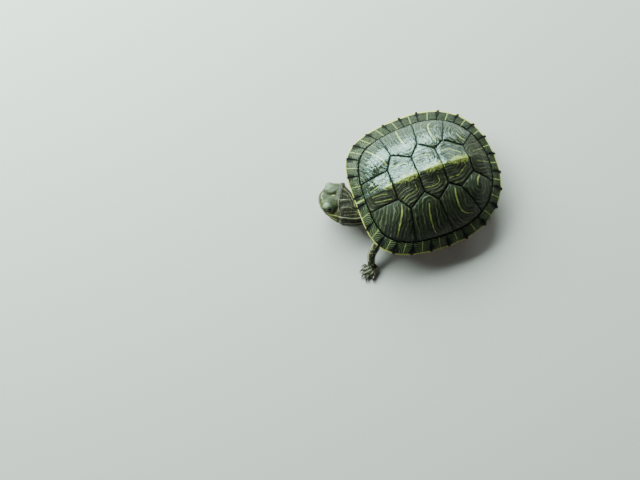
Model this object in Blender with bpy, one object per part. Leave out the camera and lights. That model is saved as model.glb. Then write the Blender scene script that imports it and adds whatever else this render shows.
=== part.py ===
"""A young red-eared slider, life size and still, resting on the flat of its plastron.

The head looks out to the turtle's right, the left foreleg is stretched out, and the other
legs and the tail are tucked under the rim of the shell. The turtle faces -Y, its left side
is +X, up is +Z. The origin is on the plastron's flat underside, on the floor. Lengths are
in millimetres up to finish(), which makes every mesh life size in metres.
"""

import math

import bmesh
import bpy
from mathutils import Matrix, Vector

MM = 0.001
GAP = 0.3
FULL_TURN = 2 * math.pi

# The carapace seen from above, and its height: the rim, then the dome above it.
HALF_WIDTH = 19.5
HALF_LENGTH = 20.0
ROUNDNESS = 2.3
FRONT_SQUARENESS = 1.4
RIM_SIDE = 5.8
RIM_FRONT_RISE = 2.2
RIM_REAR_RISE = 0.8
APEX = 16.4
DOME_PROFILE = (
    (0.0, 1.0), (0.2, 0.96), (0.4, 0.83), (0.6, 0.63), (0.75, 0.42), (0.83, 0.24), (1.0, 0.0),
)
KEEL_WIDTH = 2.4
KEEL_ALONG = ((-17.5, 0.15), (-9.6, 0.5), (-2.0, 0.75), (4.5, 0.75), (11.3, 0.6), (17.3, 0.1))

# Scutes of the carapace. Angles turn from the nose to the turtle's left, in degrees.
PLATE = 0.8
MARGINAL_INNER = 0.83
MARGINAL_INNER_RISE = 0.03
MARGINAL_SEAMS = (4.0, 21.5, 35.7, 47.1, 59.7, 74.4, 88.8, 103.8, 121.2, 137.0, 151.3, 164.5, 180.0)
MARGINAL_EDGE = 0.55
MARGINAL_ROOT = 0.75
COSTAL_SEAMS = (13.3, 61.4, 96.0, 127.0, 155.6)
VERTEBRAL_SEAMS = (-9.5, -2.3, 4.3, 11.4)
VERTEBRAL_CORNERS = ((4.1, -9.3), (4.8, -2.5), (4.9, 4.0), (3.6, 11.4))
VERTEBRAL_POINTS = ((7.6, -7.1), (7.9, 0.3), (6.6, 6.8))

# Plastron and bridges.
PLASTRON_THICK = 1.3
PLASTRON_EDGE = 0.4
PLASTRON_FRONT_RISE = 0.8
PLASTRON_REAR_RISE = 0.5
PLASTRON_FLAT = 0.55
PLASTRON_CENTRE_Y = 6.5
PLASTRON_HALF_WIDTHS = (
    (-18.0, 3.6), (-17.2, 6.4), (-14.0, 8.9), (-10.0, 9.8), (-7.8, 12.6), (-5.5, 13.2),
    (3.5, 13.2), (6.6, 12.6), (8.6, 9.6), (13.0, 8.6), (16.3, 5.6), (17.6, 2.4),
)
BRIDGE_FRONT = -7.6
BRIDGE_REAR = 6.4
BRIDGE_SECTION = ((13.55, 0.45), (15.3, 1.5), (17.3, 4.35), (15.9, 4.6), (14.5, 2.9), (13.5, 1.6))

# Trunk, between the plastron and the dome.
TRUNK_HALF_WIDTHS = ((-16.2, 8.0), (-8.0, 11.6), (0.0, 12.6), (7.0, 11.6), (15.6, 7.6))
TRUNK_MIDDLE = 3.6
TRUNK_TOP = 12.0

# Head: half widths, heights above and below its axis, the jaws' spread low down, and the fold
# of neck skin pushed out on the left, each by distance behind the snout tip.
SNOUT = Vector((-5.8, -29.3, 5.1))
HEAD_YAW = math.radians(22)
HEAD_PITCH = math.radians(3)
HEAD_ROLL = math.radians(11)
HEAD_STEPS = (0.0, 0.35, 1.0, 2.0, 3.1, 4.2, 5.3, 6.4)
HEAD_HALF_WIDTHS = ((0.0, 0.7), (0.35, 1.5), (1.0, 2.4), (2.0, 3.5), (3.1, 4.2), (4.2, 4.45), (6.4, 4.5))
HEAD_TOPS = ((0.0, 0.5), (0.35, 1.1), (1.0, 1.8), (2.0, 2.5), (3.5, 3.2), (5.0, 3.4), (6.4, 3.4))
HEAD_BOTTOMS = ((0.0, 1.1), (0.35, 1.6), (1.0, 2.0), (2.0, 2.3), (3.5, 2.7), (5.0, 3.0), (6.4, 3.2))
JAW_SPREAD = ((0.0, 0.0), (0.35, 0.2), (1.0, 0.5), (2.0, 0.6), (3.1, 0.5), (6.4, 0.4))
FOLD_SPREAD = ((0.0, 0.0), (1.0, 0.1), (2.0, 0.3), (3.1, 0.6), (4.2, 1.4), (5.3, 2.1), (6.4, 2.5))
FOLD_TOP = 0.5
FOLD_FADE = 0.8
SQUARE = 0.85
EYE_RADIUS = 1.3
EYE_BACK = 3.2
EYE_OUT = 3.0
EYE_UP = 1.2

# Neck stations: centre, half width, half height, and the way the section faces (yaw).
NECK_STATIONS = (
    ((-1.95, -23.55, 5.3), 5.85, 3.4, 22),
    ((-1.25, -23.1, 5.3), 5.75, 3.5, 22),
    ((-0.3, -22.4, 5.2), 5.2, 3.3, 23),
    ((0.9, -21.4, 4.95), 4.6, 2.9, 24),
    ((1.9, -20.1, 4.75), 4.0, 2.3, 18),
    ((2.0, -18.0, 4.65), 3.9, 2.15, 8),
    ((1.8, -15.9, 4.55), 3.9, 2.1, 0),
)

# Legs: balls of (x, y, z, radius, flatness) from the body outwards, then digits of one foot.
LEG_CUT = 13.4
FORELEG_LEFT = (
    (7.0, -11.6, 4.3, 1.9, 1.0), (10.6, -15.9, 4.2, 1.7, 1.0), (12.0, -18.3, 4.0, 1.35, 1.0),
    (13.1, -19.7, 3.6, 1.25, 1.0), (14.4, -20.9, 2.8, 1.15, 1.0), (15.6, -21.4, 2.1, 1.1, 0.9),
    (17.8, -21.95, 1.1, 1.85, 0.62),
)
FORELEG_LEFT_TOES = ((15.9, -23.6), (16.8, -24.5), (18.1, -24.7), (19.5, -24.2), (20.3, -22.5))
FORELEG_LEFT_CLAWS = ((16.1, -24.6), (17.3, -25.4), (19.1, -25.5), (20.8, -24.9), (21.6, -22.9))
FORELEG_RIGHT = (
    (-7.0, -11.6, 4.3, 1.9, 1.0), (-11.6, -15.3, 4.0, 1.7, 1.0), (-13.9, -14.2, 3.1, 1.35, 1.0),
    (-14.9, -12.3, 2.1, 1.15, 0.9), (-15.6, -11.1, 1.05, 1.6, 0.62),
)
FORELEG_RIGHT_TOES = ((-16.0, -12.9), (-17.0, -12.0), (-17.4, -10.9), (-17.3, -9.8), (-16.4, -9.3))
FORELEG_RIGHT_CLAWS = ((-16.4, -13.8), (-17.9, -12.5), (-18.4, -10.8), (-18.2, -9.3), (-16.9, -8.5))
HIND_LEG = (
    (6.0, 11.6, 4.4, 2.1, 1.0), (10.0, 9.6, 4.4, 1.9, 1.0), (11.4, 11.2, 3.4, 1.5, 1.0),
    (11.5, 12.6, 2.2, 1.25, 0.9), (12.6, 12.7, 1.05, 1.75, 0.6),
)
HIND_TOES = ((14.5, 11.0), (15.3, 11.9), (15.1, 13.0), (14.3, 13.9))
HIND_CLAWS = ((15.3, 10.3), (16.3, 11.7), (16.0, 13.3), (15.0, 14.5))
TOE_ROOT = 0.62
TOE_TIP = 0.46
CLAW_TIP = 0.16
TOE_Z = 0.62

TAIL = (
    (0.0, 13.6, 4.2, 1.7, 1.0), (-0.8, 16.2, 3.7, 1.35, 1.0), (-3.2, 17.4, 3.1, 1.05, 1.0),
    (-6.0, 17.0, 2.5, 0.75, 1.0), (-8.6, 15.9, 2.0, 0.5, 1.0), (-10.4, 14.6, 1.7, 0.3, 1.0),
)
TAIL_CUT = 14.2

VOXEL = 0.24
LEG_TRIANGLES = 520
TAIL_TRIANGLES = 180


# ---- Curves, outlines and solids ----


def smooth_through(points, at):
    """A smooth curve through (x, y) points that never swings past them."""
    xs, ys = zip(*points)
    at = min(max(at, xs[0]), xs[-1])
    slopes = [(ys[i + 1] - ys[i]) / (xs[i + 1] - xs[i]) for i in range(len(xs) - 1)]
    tangents = [slopes[0]]
    for before, after in zip(slopes, slopes[1:]):
        tangents.append(0.0 if before * after <= 0 else 2 * before * after / (before + after))
    tangents.append(slopes[-1])
    i = max(k for k in range(len(slopes)) if at >= xs[k])
    span = xs[i + 1] - xs[i]
    t = (at - xs[i]) / span
    return (
        ys[i] * (1 + 2 * t) * (1 - t) ** 2
        + tangents[i] * span * t * (1 - t) ** 2
        + ys[i + 1] * t * t * (3 - 2 * t)
        - tangents[i + 1] * span * t * t * (1 - t)
    )


def rim_radius(angle):
    """Distance from the middle to the shell's edge, a rounded square towards the nose."""
    power = ROUNDNESS + FRONT_SQUARENESS * max(0.0, math.cos(angle)) ** 1.5
    across = abs(math.sin(angle) / HALF_WIDTH) ** power
    along = abs(math.cos(angle) / HALF_LENGTH) ** power
    return (across + along) ** (-1 / power)


def rim_height(angle):
    ahead = math.cos(angle)
    return RIM_SIDE + RIM_FRONT_RISE * max(0.0, ahead) ** 2 + RIM_REAR_RISE * max(0.0, -ahead) ** 2


def on_shell(angle, part_way):
    """The plan point at a part of the way from the middle to the rim."""
    reach = part_way * rim_radius(angle)
    return Vector((reach * math.sin(angle), -reach * math.cos(angle)))


def dome_height(x, y):
    angle = math.atan2(x, -y)
    part_way = min(math.hypot(x, y) / rim_radius(angle), 1.0)
    rim = rim_height(angle)
    return rim + (APEX - rim) * smooth_through(DOME_PROFILE, part_way)


def shell_height(x, y):
    """The outer surface, with the keel down the middle of the back."""
    ridge = max(0.0, 1 - abs(x) / KEEL_WIDTH) ** 1.3
    return dome_height(x, y) + ridge * smooth_through(KEEL_ALONG, y)


def marginal_inner(angle):
    return MARGINAL_INNER + MARGINAL_INNER_RISE * math.cos(angle) ** 2


def mirrored(points):
    """The same outline on the turtle's right, still running the same way round."""
    return [Vector((-p.x, p.y)) for p in reversed(points)]


def inset(outline, by):
    """The outline moved inwards, for the seam between neighbouring plates."""
    area = sum(a.x * b.y - b.x * a.y for a, b in zip(outline, outline[1:] + outline[:1]))
    turn = 1 if area > 0 else -1
    moved = []
    for i, point in enumerate(outline):
        into = (point - outline[i - 1]).normalized()
        out = (outline[(i + 1) % len(outline)] - point).normalized()
        normal = Vector((-(into.y + out.y), into.x + out.x)).normalized() * turn
        half = max(0.5, math.sqrt(max(0.0, (1 + into.dot(out)) / 2)))
        moved.append(point + normal * (by / half))
    return moved


def straight(start, end, pieces, bow=0.0):
    """Points from start up to but not including end, bowed to the left of the way it runs."""
    run = end - start
    side = Vector((-run.y, run.x)).normalized()
    points = []
    for i in range(pieces):
        t = i / pieces
        points.append(start + run * t + side * (4 * bow * t * (1 - t)))
    return points


def ring_arc(start, end, pieces):
    """Points along the inner edge of the marginals, up to but not including the end."""
    angles = [math.radians(start + (end - start) * i / pieces) for i in range(pieces)]
    return [on_shell(a, marginal_inner(a)) for a in angles]


def bridge_rings(bm, rings):
    for ring, following in zip(rings, rings[1:]):
        for i, vert in enumerate(ring):
            j = (i + 1) % len(ring)
            bm.faces.new((vert, ring[j], following[j], following[i]))


def fan(bm, ring, hub):
    for i, vert in enumerate(ring):
        bm.faces.new((vert, ring[(i + 1) % len(ring)], hub))


def loft(bm, sections):
    """A closed skin over a row of rings, ended with a flat face at each end."""
    rings = [[bm.verts.new(point) for point in section] for section in sections]
    bridge_rings(bm, rings)
    bm.faces.new(rings[0])
    bm.faces.new(rings[-1])


def cut_away(bm, point, normal):
    """Removes what lies beyond the plane, and closes the cut with a flat face."""
    everything = bm.verts[:] + bm.edges[:] + bm.faces[:]
    bmesh.ops.bisect_plane(
        bm, geom=everything, plane_co=point, plane_no=normal, clear_outer=True, dist=1e-5
    )
    bmesh.ops.holes_fill(bm, edges=[e for e in bm.edges if e.is_boundary], sides=0)


def material(name, colour, roughness):
    made = bpy.data.materials.new(name)
    made.use_nodes = True
    shader = made.node_tree.nodes["Principled BSDF"]
    shader.inputs["Base Color"].default_value = (*colour, 1.0)
    shader.inputs["Roughness"].default_value = roughness
    shader.inputs["Metallic"].default_value = 0.0
    made.diffuse_color = (*colour, 1.0)
    return made


def finish(name, bm, colour, roughness):
    """Names the piece, makes it life size, and gives it its own material."""
    bmesh.ops.recalc_face_normals(bm, faces=bm.faces)
    bmesh.ops.scale(bm, vec=(MM, MM, MM), verts=bm.verts)
    mesh = bpy.data.meshes.new(name)
    bm.to_mesh(mesh)
    bm.free()
    mesh.shade_smooth()
    mesh.set_sharp_from_angle(angle=math.radians(50))
    obj = bpy.data.objects.new(name, mesh)
    obj.data.materials.append(material(name, colour, roughness))
    bpy.context.scene.collection.objects.link(obj)
    return obj


# ---- The shell ----


def carapace():
    """The bony dome under the scutes, thick enough to reach the trunk."""
    sides = 30
    angles = [FULL_TURN * i / sides for i in range(sides)]
    steps = (0.22, 0.42, 0.6, 0.75, 1.0)

    def place(angle, step, over):
        edge = marginal_inner(angle) - (GAP / rim_radius(angle))
        point = on_shell(angle, edge * step)
        outer = dome_height(point.x, point.y)
        if over:
            return Vector((point.x, point.y, outer - PLATE - GAP))
        rim = rim_height(angle) - GAP
        return Vector((point.x, point.y, rim + 0.5 * (outer - rim - 2.6)))

    bm = bmesh.new()
    tops = [[bm.verts.new(place(a, step, True)) for a in angles] for step in steps]
    unders = [[bm.verts.new(place(a, step, False)) for a in angles] for step in (1.0, 0.6, 0.3)]
    fan(bm, tops[0], bm.verts.new(place(0.0, 0.0, True)))
    bridge_rings(bm, tops + unders)
    fan(bm, unders[-1], bm.verts.new(place(0.0, 0.0, False)))
    finish("carapace", bm, (0.10, 0.13, 0.07), 0.6)


def scute(name, outline):
    """One horny plate: its edge dips to the seam, and its underside follows the dome."""
    edge = inset(outline, GAP / 2)
    centre = sum(edge, Vector((0, 0))) / len(edge)

    def ring(part, drop, height):
        points = [centre.lerp(p, part) for p in edge]
        return [Vector((p.x, p.y, height(p.x, p.y) - drop)) for p in points]

    bm = bmesh.new()
    tops = [(0.45, -0.05, shell_height), (0.88, 0.0, shell_height), (1.0, 0.18, shell_height)]
    unders = [(1.0, PLATE, dome_height), (0.55, PLATE, dome_height)]
    rings = [[bm.verts.new(v) for v in ring(*step)] for step in tops + unders]
    bridge_rings(bm, rings)
    over = bm.verts.new((centre.x, centre.y, shell_height(centre.x, centre.y) + 0.05))
    under = bm.verts.new((centre.x, centre.y, dome_height(centre.x, centre.y) - PLATE))
    fan(bm, rings[0], over)
    fan(bm, rings[-1], under)
    finish(name, bm, (0.13, 0.20, 0.10), 0.35)


def upper_scutes():
    """Five vertebrals down the back and four costals on each side of them."""
    front = on_shell(math.radians(COSTAL_SEAMS[0]), marginal_inner(math.radians(COSTAL_SEAMS[0])))
    corners = [Vector(c) for c in VERTEBRAL_CORNERS]
    points = [Vector(p) for p in VERTEBRAL_POINTS]
    ends = [on_shell(math.radians(a), marginal_inner(math.radians(a))) for a in COSTAL_SEAMS]
    middles = [Vector((0.0, y)) for y in VERTEBRAL_SEAMS]

    def whole(name, left):
        """A vertebral from its left half, which runs from the front of the midline to the back."""
        right = [Vector((-p.x, p.y)) for p in reversed(left) if abs(p.x) > 1e-6]
        scute(name, left + right)

    first = ring_arc(0.0, COSTAL_SEAMS[0], 3) + straight(front, corners[0], 3, 0.3)
    whole("vertebral_1", first + straight(corners[0], middles[0], 2) + [middles[0]])
    for i in range(3):
        side = straight(middles[i], corners[i], 2) + straight(corners[i], points[i], 2)
        side += straight(points[i], corners[i + 1], 2) + straight(corners[i + 1], middles[i + 1], 2)
        whole(f"vertebral_{i + 2}", side + [middles[i + 1]])
    rear = ring_arc(COSTAL_SEAMS[4], 180.0, 3)
    last = straight(middles[3], corners[3], 2) + straight(corners[3], ends[4], 3) + rear
    whole("vertebral_5", last + [on_shell(math.pi, marginal_inner(math.pi))])

    costals = (
        ring_arc(COSTAL_SEAMS[0], COSTAL_SEAMS[1], 6)
        + straight(ends[1], points[0], 4)
        + straight(points[0], corners[0], 2)
        + straight(corners[0], front, 3, -0.3),
        ring_arc(COSTAL_SEAMS[1], COSTAL_SEAMS[2], 4)
        + straight(ends[2], points[1], 4)
        + straight(points[1], corners[1], 2)
        + straight(corners[1], points[0], 2)
        + straight(points[0], ends[1], 4),
        ring_arc(COSTAL_SEAMS[2], COSTAL_SEAMS[3], 4)
        + straight(ends[3], points[2], 4)
        + straight(points[2], corners[2], 2)
        + straight(corners[2], points[1], 2)
        + straight(points[1], ends[2], 4),
        ring_arc(COSTAL_SEAMS[3], COSTAL_SEAMS[4], 4)
        + straight(ends[4], corners[3], 3)
        + straight(corners[3], points[2], 2)
        + straight(points[2], ends[3], 4),
    )
    for i, outline in enumerate(costals):
        scute(f"costal_left_{i + 1}", outline)
        scute(f"costal_right_{i + 1}", mirrored(outline))


def marginal(name, start, end):
    """One plate of the rim, wrapped over the edge: thin outside, thick where it meets the dome."""
    pieces = 3
    trim = GAP / 2 / HALF_WIDTH
    bm = bmesh.new()
    sections = []
    for i in range(pieces + 1):
        angle = start + trim + (end - start - 2 * trim) * i / pieces
        inner = marginal_inner(angle) + (GAP / 2) / rim_radius(angle)
        middle = (inner + 1) / 2
        rim = rim_height(angle)
        section = []
        for part_way, drop in ((inner, 0.12), (middle, 0.0), (1.0, 0.0)):
            at = on_shell(angle, part_way)
            section.append(Vector((at.x, at.y, dome_height(at.x, at.y) - drop)))
        for part_way, drop in ((0.995, MARGINAL_EDGE), (middle, MARGINAL_ROOT), (inner, GAP)):
            at = on_shell(angle, part_way)
            section.append(Vector((at.x, at.y, rim - drop)))
        sections.append(section)
    loft(bm, sections)
    finish(name, bm, (0.16, 0.22, 0.10), 0.4)


def marginals():
    """The nuchal in front, then twelve plates down each side."""
    seams = [math.radians(a) for a in MARGINAL_SEAMS]
    marginal("nuchal", -seams[0], seams[0])
    for i in range(12):
        marginal(f"marginal_left_{i + 1}", seams[i], seams[i + 1])
        marginal(f"marginal_right_{i + 1}", -seams[i + 1], -seams[i])


def plastron_rise(y):
    """How far the lower shell turns up towards its two ends."""
    front = max(0.0, (-y - 11.0) / 7.0) ** 2 * PLASTRON_FRONT_RISE
    return front + max(0.0, (y - 12.0) / 5.6) ** 2 * PLASTRON_REAR_RISE


def plastron():
    """The flat lower shell, turned up a little at both ends."""
    left = [Vector((half, y)) for y, half in PLASTRON_HALF_WIDTHS]
    outline = left + mirrored(left)
    centre = Vector((0.0, PLASTRON_CENTRE_Y))

    def ring(part, height):
        points = [centre.lerp(p, part) for p in outline]
        return [Vector((p.x, p.y, height + plastron_rise(p.y))) for p in points]

    bm = bmesh.new()
    flat = [Vector((v.x, v.y, 0.0)) for v in ring(PLASTRON_FLAT, 0.0)]
    shapes = [flat, ring(0.96, 0.0), ring(1.0, PLASTRON_EDGE)]
    shapes += [ring(0.99, PLASTRON_THICK), ring(0.5, PLASTRON_THICK)]
    rings = [[bm.verts.new(v) for v in shape] for shape in shapes]
    bridge_rings(bm, rings)
    fan(bm, rings[0], bm.verts.new((centre.x, centre.y, 0.0)))
    fan(bm, rings[-1], bm.verts.new((centre.x, centre.y, PLASTRON_THICK)))
    finish("plastron", bm, (0.62, 0.52, 0.16), 0.45)


def bridges():
    """The slanted struts that tie the plastron to the fourth to seventh marginals."""
    pieces = 6
    for name, side in (("bridge_left", 1), ("bridge_right", -1)):
        bm = bmesh.new()
        sections = []
        for i in range(pieces + 1):
            t = i / pieces
            y = BRIDGE_FRONT + (BRIDGE_REAR - BRIDGE_FRONT) * t
            pinch = 0.5 * abs(2 * t - 1) ** 3
            section = []
            for x, z in BRIDGE_SECTION:
                lean = pinch * (z / 4.6)
                section.append(Vector((side * (x - lean), y, z)))
            sections.append(section)
        loft(bm, sections)
        finish(name, bm, (0.55, 0.47, 0.16), 0.45)


# ---- The body ----


def leg_plane(side, end):
    """A point on the plane that parts a leg from the trunk, and the way out of the body."""
    outwards = Vector((side, end, 0.0)).normalized()
    return outwards * LEG_CUT, outwards


def trunk():
    """The body between the two shells, cut flat where legs, neck and tail leave it."""
    sides = 20
    lengthwise = 14
    start, end = TRUNK_HALF_WIDTHS[0][0], TRUNK_HALF_WIDTHS[-1][0]
    bm = bmesh.new()
    sections = []
    for i in range(lengthwise + 1):
        y = start + (end - start) * i / lengthwise
        half = smooth_through(TRUNK_HALF_WIDTHS, y)
        floor = PLASTRON_THICK + plastron_rise(y) + GAP + 0.1
        section = []
        for k in range(sides):
            angle = FULL_TURN * k / sides
            across = math.copysign(abs(math.cos(angle)) ** 0.7, math.cos(angle)) * half
            up = math.sin(angle)
            reach = (TRUNK_TOP - TRUNK_MIDDLE) if up > 0 else (TRUNK_MIDDLE - floor)
            z = TRUNK_MIDDLE + math.copysign(abs(up) ** 0.7, up) * reach
            section.append(Vector((across, y, min(z, ceiling(across, y) - GAP - 0.1))))
        sections.append(section)
    loft(bm, sections)
    for side in (-1, 1):
        for front_or_rear in (-1, 1):
            cut_away(bm, *leg_plane(side, front_or_rear))
    cut_away(bm, Vector((0, -15.6, 0)), Vector((0, -1, 0)))
    cut_away(bm, Vector((0, TAIL_CUT, 0)), Vector((0, 1, 0)))
    finish("trunk", bm, (0.16, 0.17, 0.12), 0.7)


def ceiling(x, y):
    """The underside of the carapace above a point, taken a little low."""
    angle = math.atan2(x, -y)
    rim = rim_height(angle) - GAP
    return rim + 0.5 * (dome_height(x, y) - rim - 2.6) - 0.15


def head_frame():
    """Turns head distances (left, back, up) from the snout tip into places."""
    turned = Matrix.Rotation(-HEAD_YAW, 4, "Z")
    pitched = Matrix.Rotation(HEAD_PITCH, 4, "X")
    rolled = Matrix.Rotation(-HEAD_ROLL, 4, "Y")
    return Matrix.Translation(SNOUT) @ turned @ pitched @ rolled


def ball_mesh(centre, radius, around=14, rings=9):
    bm = bmesh.new()
    bmesh.ops.create_uvsphere(
        bm, u_segments=around, v_segments=rings, radius=radius, matrix=Matrix.Translation(centre)
    )
    return bm


def head():
    """The blunt head up to the fold of neck skin behind the eyes, with a socket for each eye."""
    frame = head_frame()
    sides = 20
    bm = bmesh.new()
    sections = []
    for back in HEAD_STEPS:
        half = smooth_through(HEAD_HALF_WIDTHS, back)
        top = smooth_through(HEAD_TOPS, back)
        bottom = smooth_through(HEAD_BOTTOMS, back)
        jaw = smooth_through(JAW_SPREAD, back)
        fold = smooth_through(FOLD_SPREAD, back)
        section = []
        for k in range(sides):
            angle = FULL_TURN * k / sides
            left = math.copysign(abs(math.cos(angle)) ** SQUARE, math.cos(angle))
            up = math.sin(angle)
            low = min(1.0, max(0.0, (FOLD_TOP - up) / FOLD_FADE))
            across = left * (half + low * jaw) + max(0.0, left) * low * fold
            height = math.copysign(abs(up) ** SQUARE, up) * (top if up > 0 else bottom)
            section.append(frame @ Vector((across, back, height)))
        sections.append(section)
    loft(bm, sections)
    obj = finish("head", bm, (0.20, 0.27, 0.15), 0.4)
    for name, side in (("eye_left", 1), ("eye_right", -1)):
        centre = frame @ Vector((side * EYE_OUT, EYE_BACK, EYE_UP))
        finish(name, ball_mesh(centre, EYE_RADIUS), (0.30, 0.33, 0.08), 0.1)
        socket = finish(f"{name}_socket", ball_mesh(centre, EYE_RADIUS + GAP), (0.1, 0.1, 0.1), 0.5)
        socket.hide_render = True
        socket.display_type = "WIRE"
        carve = obj.modifiers.new(f"{name} socket", "BOOLEAN")
        carve.operation = "DIFFERENCE"
        carve.solver = "EXACT"
        carve.object = socket


def neck():
    """The loose sleeve of skin behind the head, and the neck that runs into the shell."""
    sides = 18
    bm = bmesh.new()
    sections = []
    for centre, half, tall, yaw in NECK_STATIONS:
        turned = Matrix.Rotation(-math.radians(yaw), 4, "Z")
        section = []
        for k in range(sides):
            angle = FULL_TURN * k / sides
            flat = Vector((math.cos(angle) * half, 0.0, math.sin(angle) * tall))
            section.append(Vector(centre) + turned @ flat)
        sections.append(section)
    loft(bm, sections)
    finish("neck", bm, (0.12, 0.13, 0.11), 0.6)


# ---- Legs and tail ----


def ball_points(ball):
    """Points over a ball, flattened in height."""
    x, y, z, radius, flat = ball
    points = [Vector((x, y, z + radius * flat)), Vector((x, y, z - radius * flat))]
    for row in range(1, 6):
        lean = math.pi * row / 6
        for k in range(12):
            angle = FULL_TURN * k / 12
            side = radius * math.sin(lean)
            height = z + radius * flat * math.cos(lean)
            points.append(Vector((x + side * math.cos(angle), y + side * math.sin(angle), height)))
    return points


def limb(balls, digits, triangles):
    """A row of balls joined by their hulls, with the digits, fused into one skin."""
    chains = [balls] + digits
    bm = bmesh.new()
    for chain in chains:
        for ball, following in zip(chain, chain[1:]):
            hull = bmesh.new()
            for point in ball_points(ball) + ball_points(following):
                hull.verts.new(point)
            made = bmesh.ops.convex_hull(hull, input=hull.verts)
            inside = made["geom_interior"] + made["geom_unused"]
            spare = [v for v in inside if isinstance(v, bmesh.types.BMVert)]
            bmesh.ops.delete(hull, geom=list(set(spare)), context="VERTS")
            piece = bpy.data.meshes.new("hull")
            hull.to_mesh(piece)
            hull.free()
            bm.from_mesh(piece)
            bpy.data.meshes.remove(piece)
    rough = bpy.data.meshes.new("limb")
    bm.to_mesh(rough)
    bm.free()
    obj = bpy.data.objects.new("limb", rough)
    bpy.context.scene.collection.objects.link(obj)
    fuse = obj.modifiers.new("fuse", "REMESH")
    fuse.mode = "VOXEL"
    fuse.voxel_size = VOXEL
    soften = obj.modifiers.new("soften", "SMOOTH")
    soften.factor = 0.5
    soften.iterations = 2
    bpy.context.view_layer.update()
    fused = obj.evaluated_get(bpy.context.evaluated_depsgraph_get())
    faces = 2 * len(fused.data.polygons)
    thin = obj.modifiers.new("thin", "DECIMATE")
    thin.ratio = triangles / faces
    bpy.context.view_layer.update()
    fused = obj.evaluated_get(bpy.context.evaluated_depsgraph_get())
    bm = bmesh.new()
    bm.from_mesh(fused.data)
    bpy.data.objects.remove(obj)
    return bm


def foot(palm, toes, claws):
    """Chains of balls for the digits: from the palm to each toe tip, then its claw."""
    digits = []
    for toe, claw in zip(toes, claws):
        start = Vector(palm[:2]).lerp(Vector(toe), 0.35)
        tip = Vector(toe)
        point = Vector(claw)
        digits.append(
            [
                (start.x, start.y, TOE_Z + 0.15, TOE_ROOT, 0.9),
                (tip.x, tip.y, TOE_Z - 0.05, TOE_TIP, 1.0),
                (point.x, point.y, 0.2, CLAW_TIP, 1.0),
            ]
        )
    return digits


def leg(name, balls, toes, claws, plane, colour):
    bm = limb(balls, foot(balls[-1], toes, claws), LEG_TRIANGLES)
    point, outwards = plane
    cut_away(bm, point + outwards * GAP, -outwards)
    cut_away(bm, Vector((0, 0, 0)), Vector((0, 0, -1)))
    finish(name, bm, colour, 0.6)


def legs():
    skin = (0.14, 0.18, 0.10)
    leg("foreleg_left", FORELEG_LEFT, FORELEG_LEFT_TOES, FORELEG_LEFT_CLAWS, leg_plane(1, -1), skin)
    leg("foreleg_right", FORELEG_RIGHT, FORELEG_RIGHT_TOES, FORELEG_RIGHT_CLAWS, leg_plane(-1, -1), skin)
    for name, side in (("hind_leg_left", 1), ("hind_leg_right", -1)):
        balls = [(side * x, y, z, radius, flat) for x, y, z, radius, flat in HIND_LEG]
        toes = [(side * x, y) for x, y in HIND_TOES]
        claws = [(side * x, y) for x, y in HIND_CLAWS]
        leg(name, balls, toes, claws, leg_plane(side, 1), skin)


def tail():
    bm = limb(TAIL, [], TAIL_TRIANGLES)
    cut_away(bm, Vector((0, TAIL_CUT + GAP, 0)), Vector((0, -1, 0)))
    finish("tail", bm, (0.14, 0.17, 0.10), 0.6)


for old in list(bpy.data.objects):
    bpy.data.objects.remove(old)
carapace()
upper_scutes()
marginals()
plastron()
bridges()
trunk()
head()
neck()
legs()
tail()
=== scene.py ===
"""A young red-eared slider, still and life size, resting on the flat of its lower shell.

The script follows the animal from the bone of the shell outwards: scutes, rim, lower shell,
skin, eyes, claws, and last the studio. Every piece is shaped in millimetres and settle()
shrinks it to life size. The turtle faces -Y and its left side is +X.
"""

import math

import bpy
import numpy as np
from mathutils import Matrix, Vector


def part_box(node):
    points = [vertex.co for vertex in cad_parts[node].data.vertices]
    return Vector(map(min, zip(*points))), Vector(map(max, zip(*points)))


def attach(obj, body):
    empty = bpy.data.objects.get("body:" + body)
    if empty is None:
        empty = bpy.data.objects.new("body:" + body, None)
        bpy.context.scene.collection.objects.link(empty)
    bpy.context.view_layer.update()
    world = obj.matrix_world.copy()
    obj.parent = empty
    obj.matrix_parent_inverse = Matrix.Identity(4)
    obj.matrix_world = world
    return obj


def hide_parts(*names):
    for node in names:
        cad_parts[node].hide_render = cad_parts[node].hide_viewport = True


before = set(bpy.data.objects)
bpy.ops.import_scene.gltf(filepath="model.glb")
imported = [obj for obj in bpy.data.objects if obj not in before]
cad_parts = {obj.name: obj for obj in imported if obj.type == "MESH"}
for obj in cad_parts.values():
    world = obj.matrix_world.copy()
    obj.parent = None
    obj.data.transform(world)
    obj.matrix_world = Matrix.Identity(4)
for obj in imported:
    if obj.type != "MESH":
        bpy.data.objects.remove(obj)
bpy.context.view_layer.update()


# ---- The bone of the upper shell ----
# A thin dome of bone, seen only as the dark line in the seams between the horny scutes that
# grow on it. It keeps its own solid and gets the colour of wet, stained growing skin.


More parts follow.
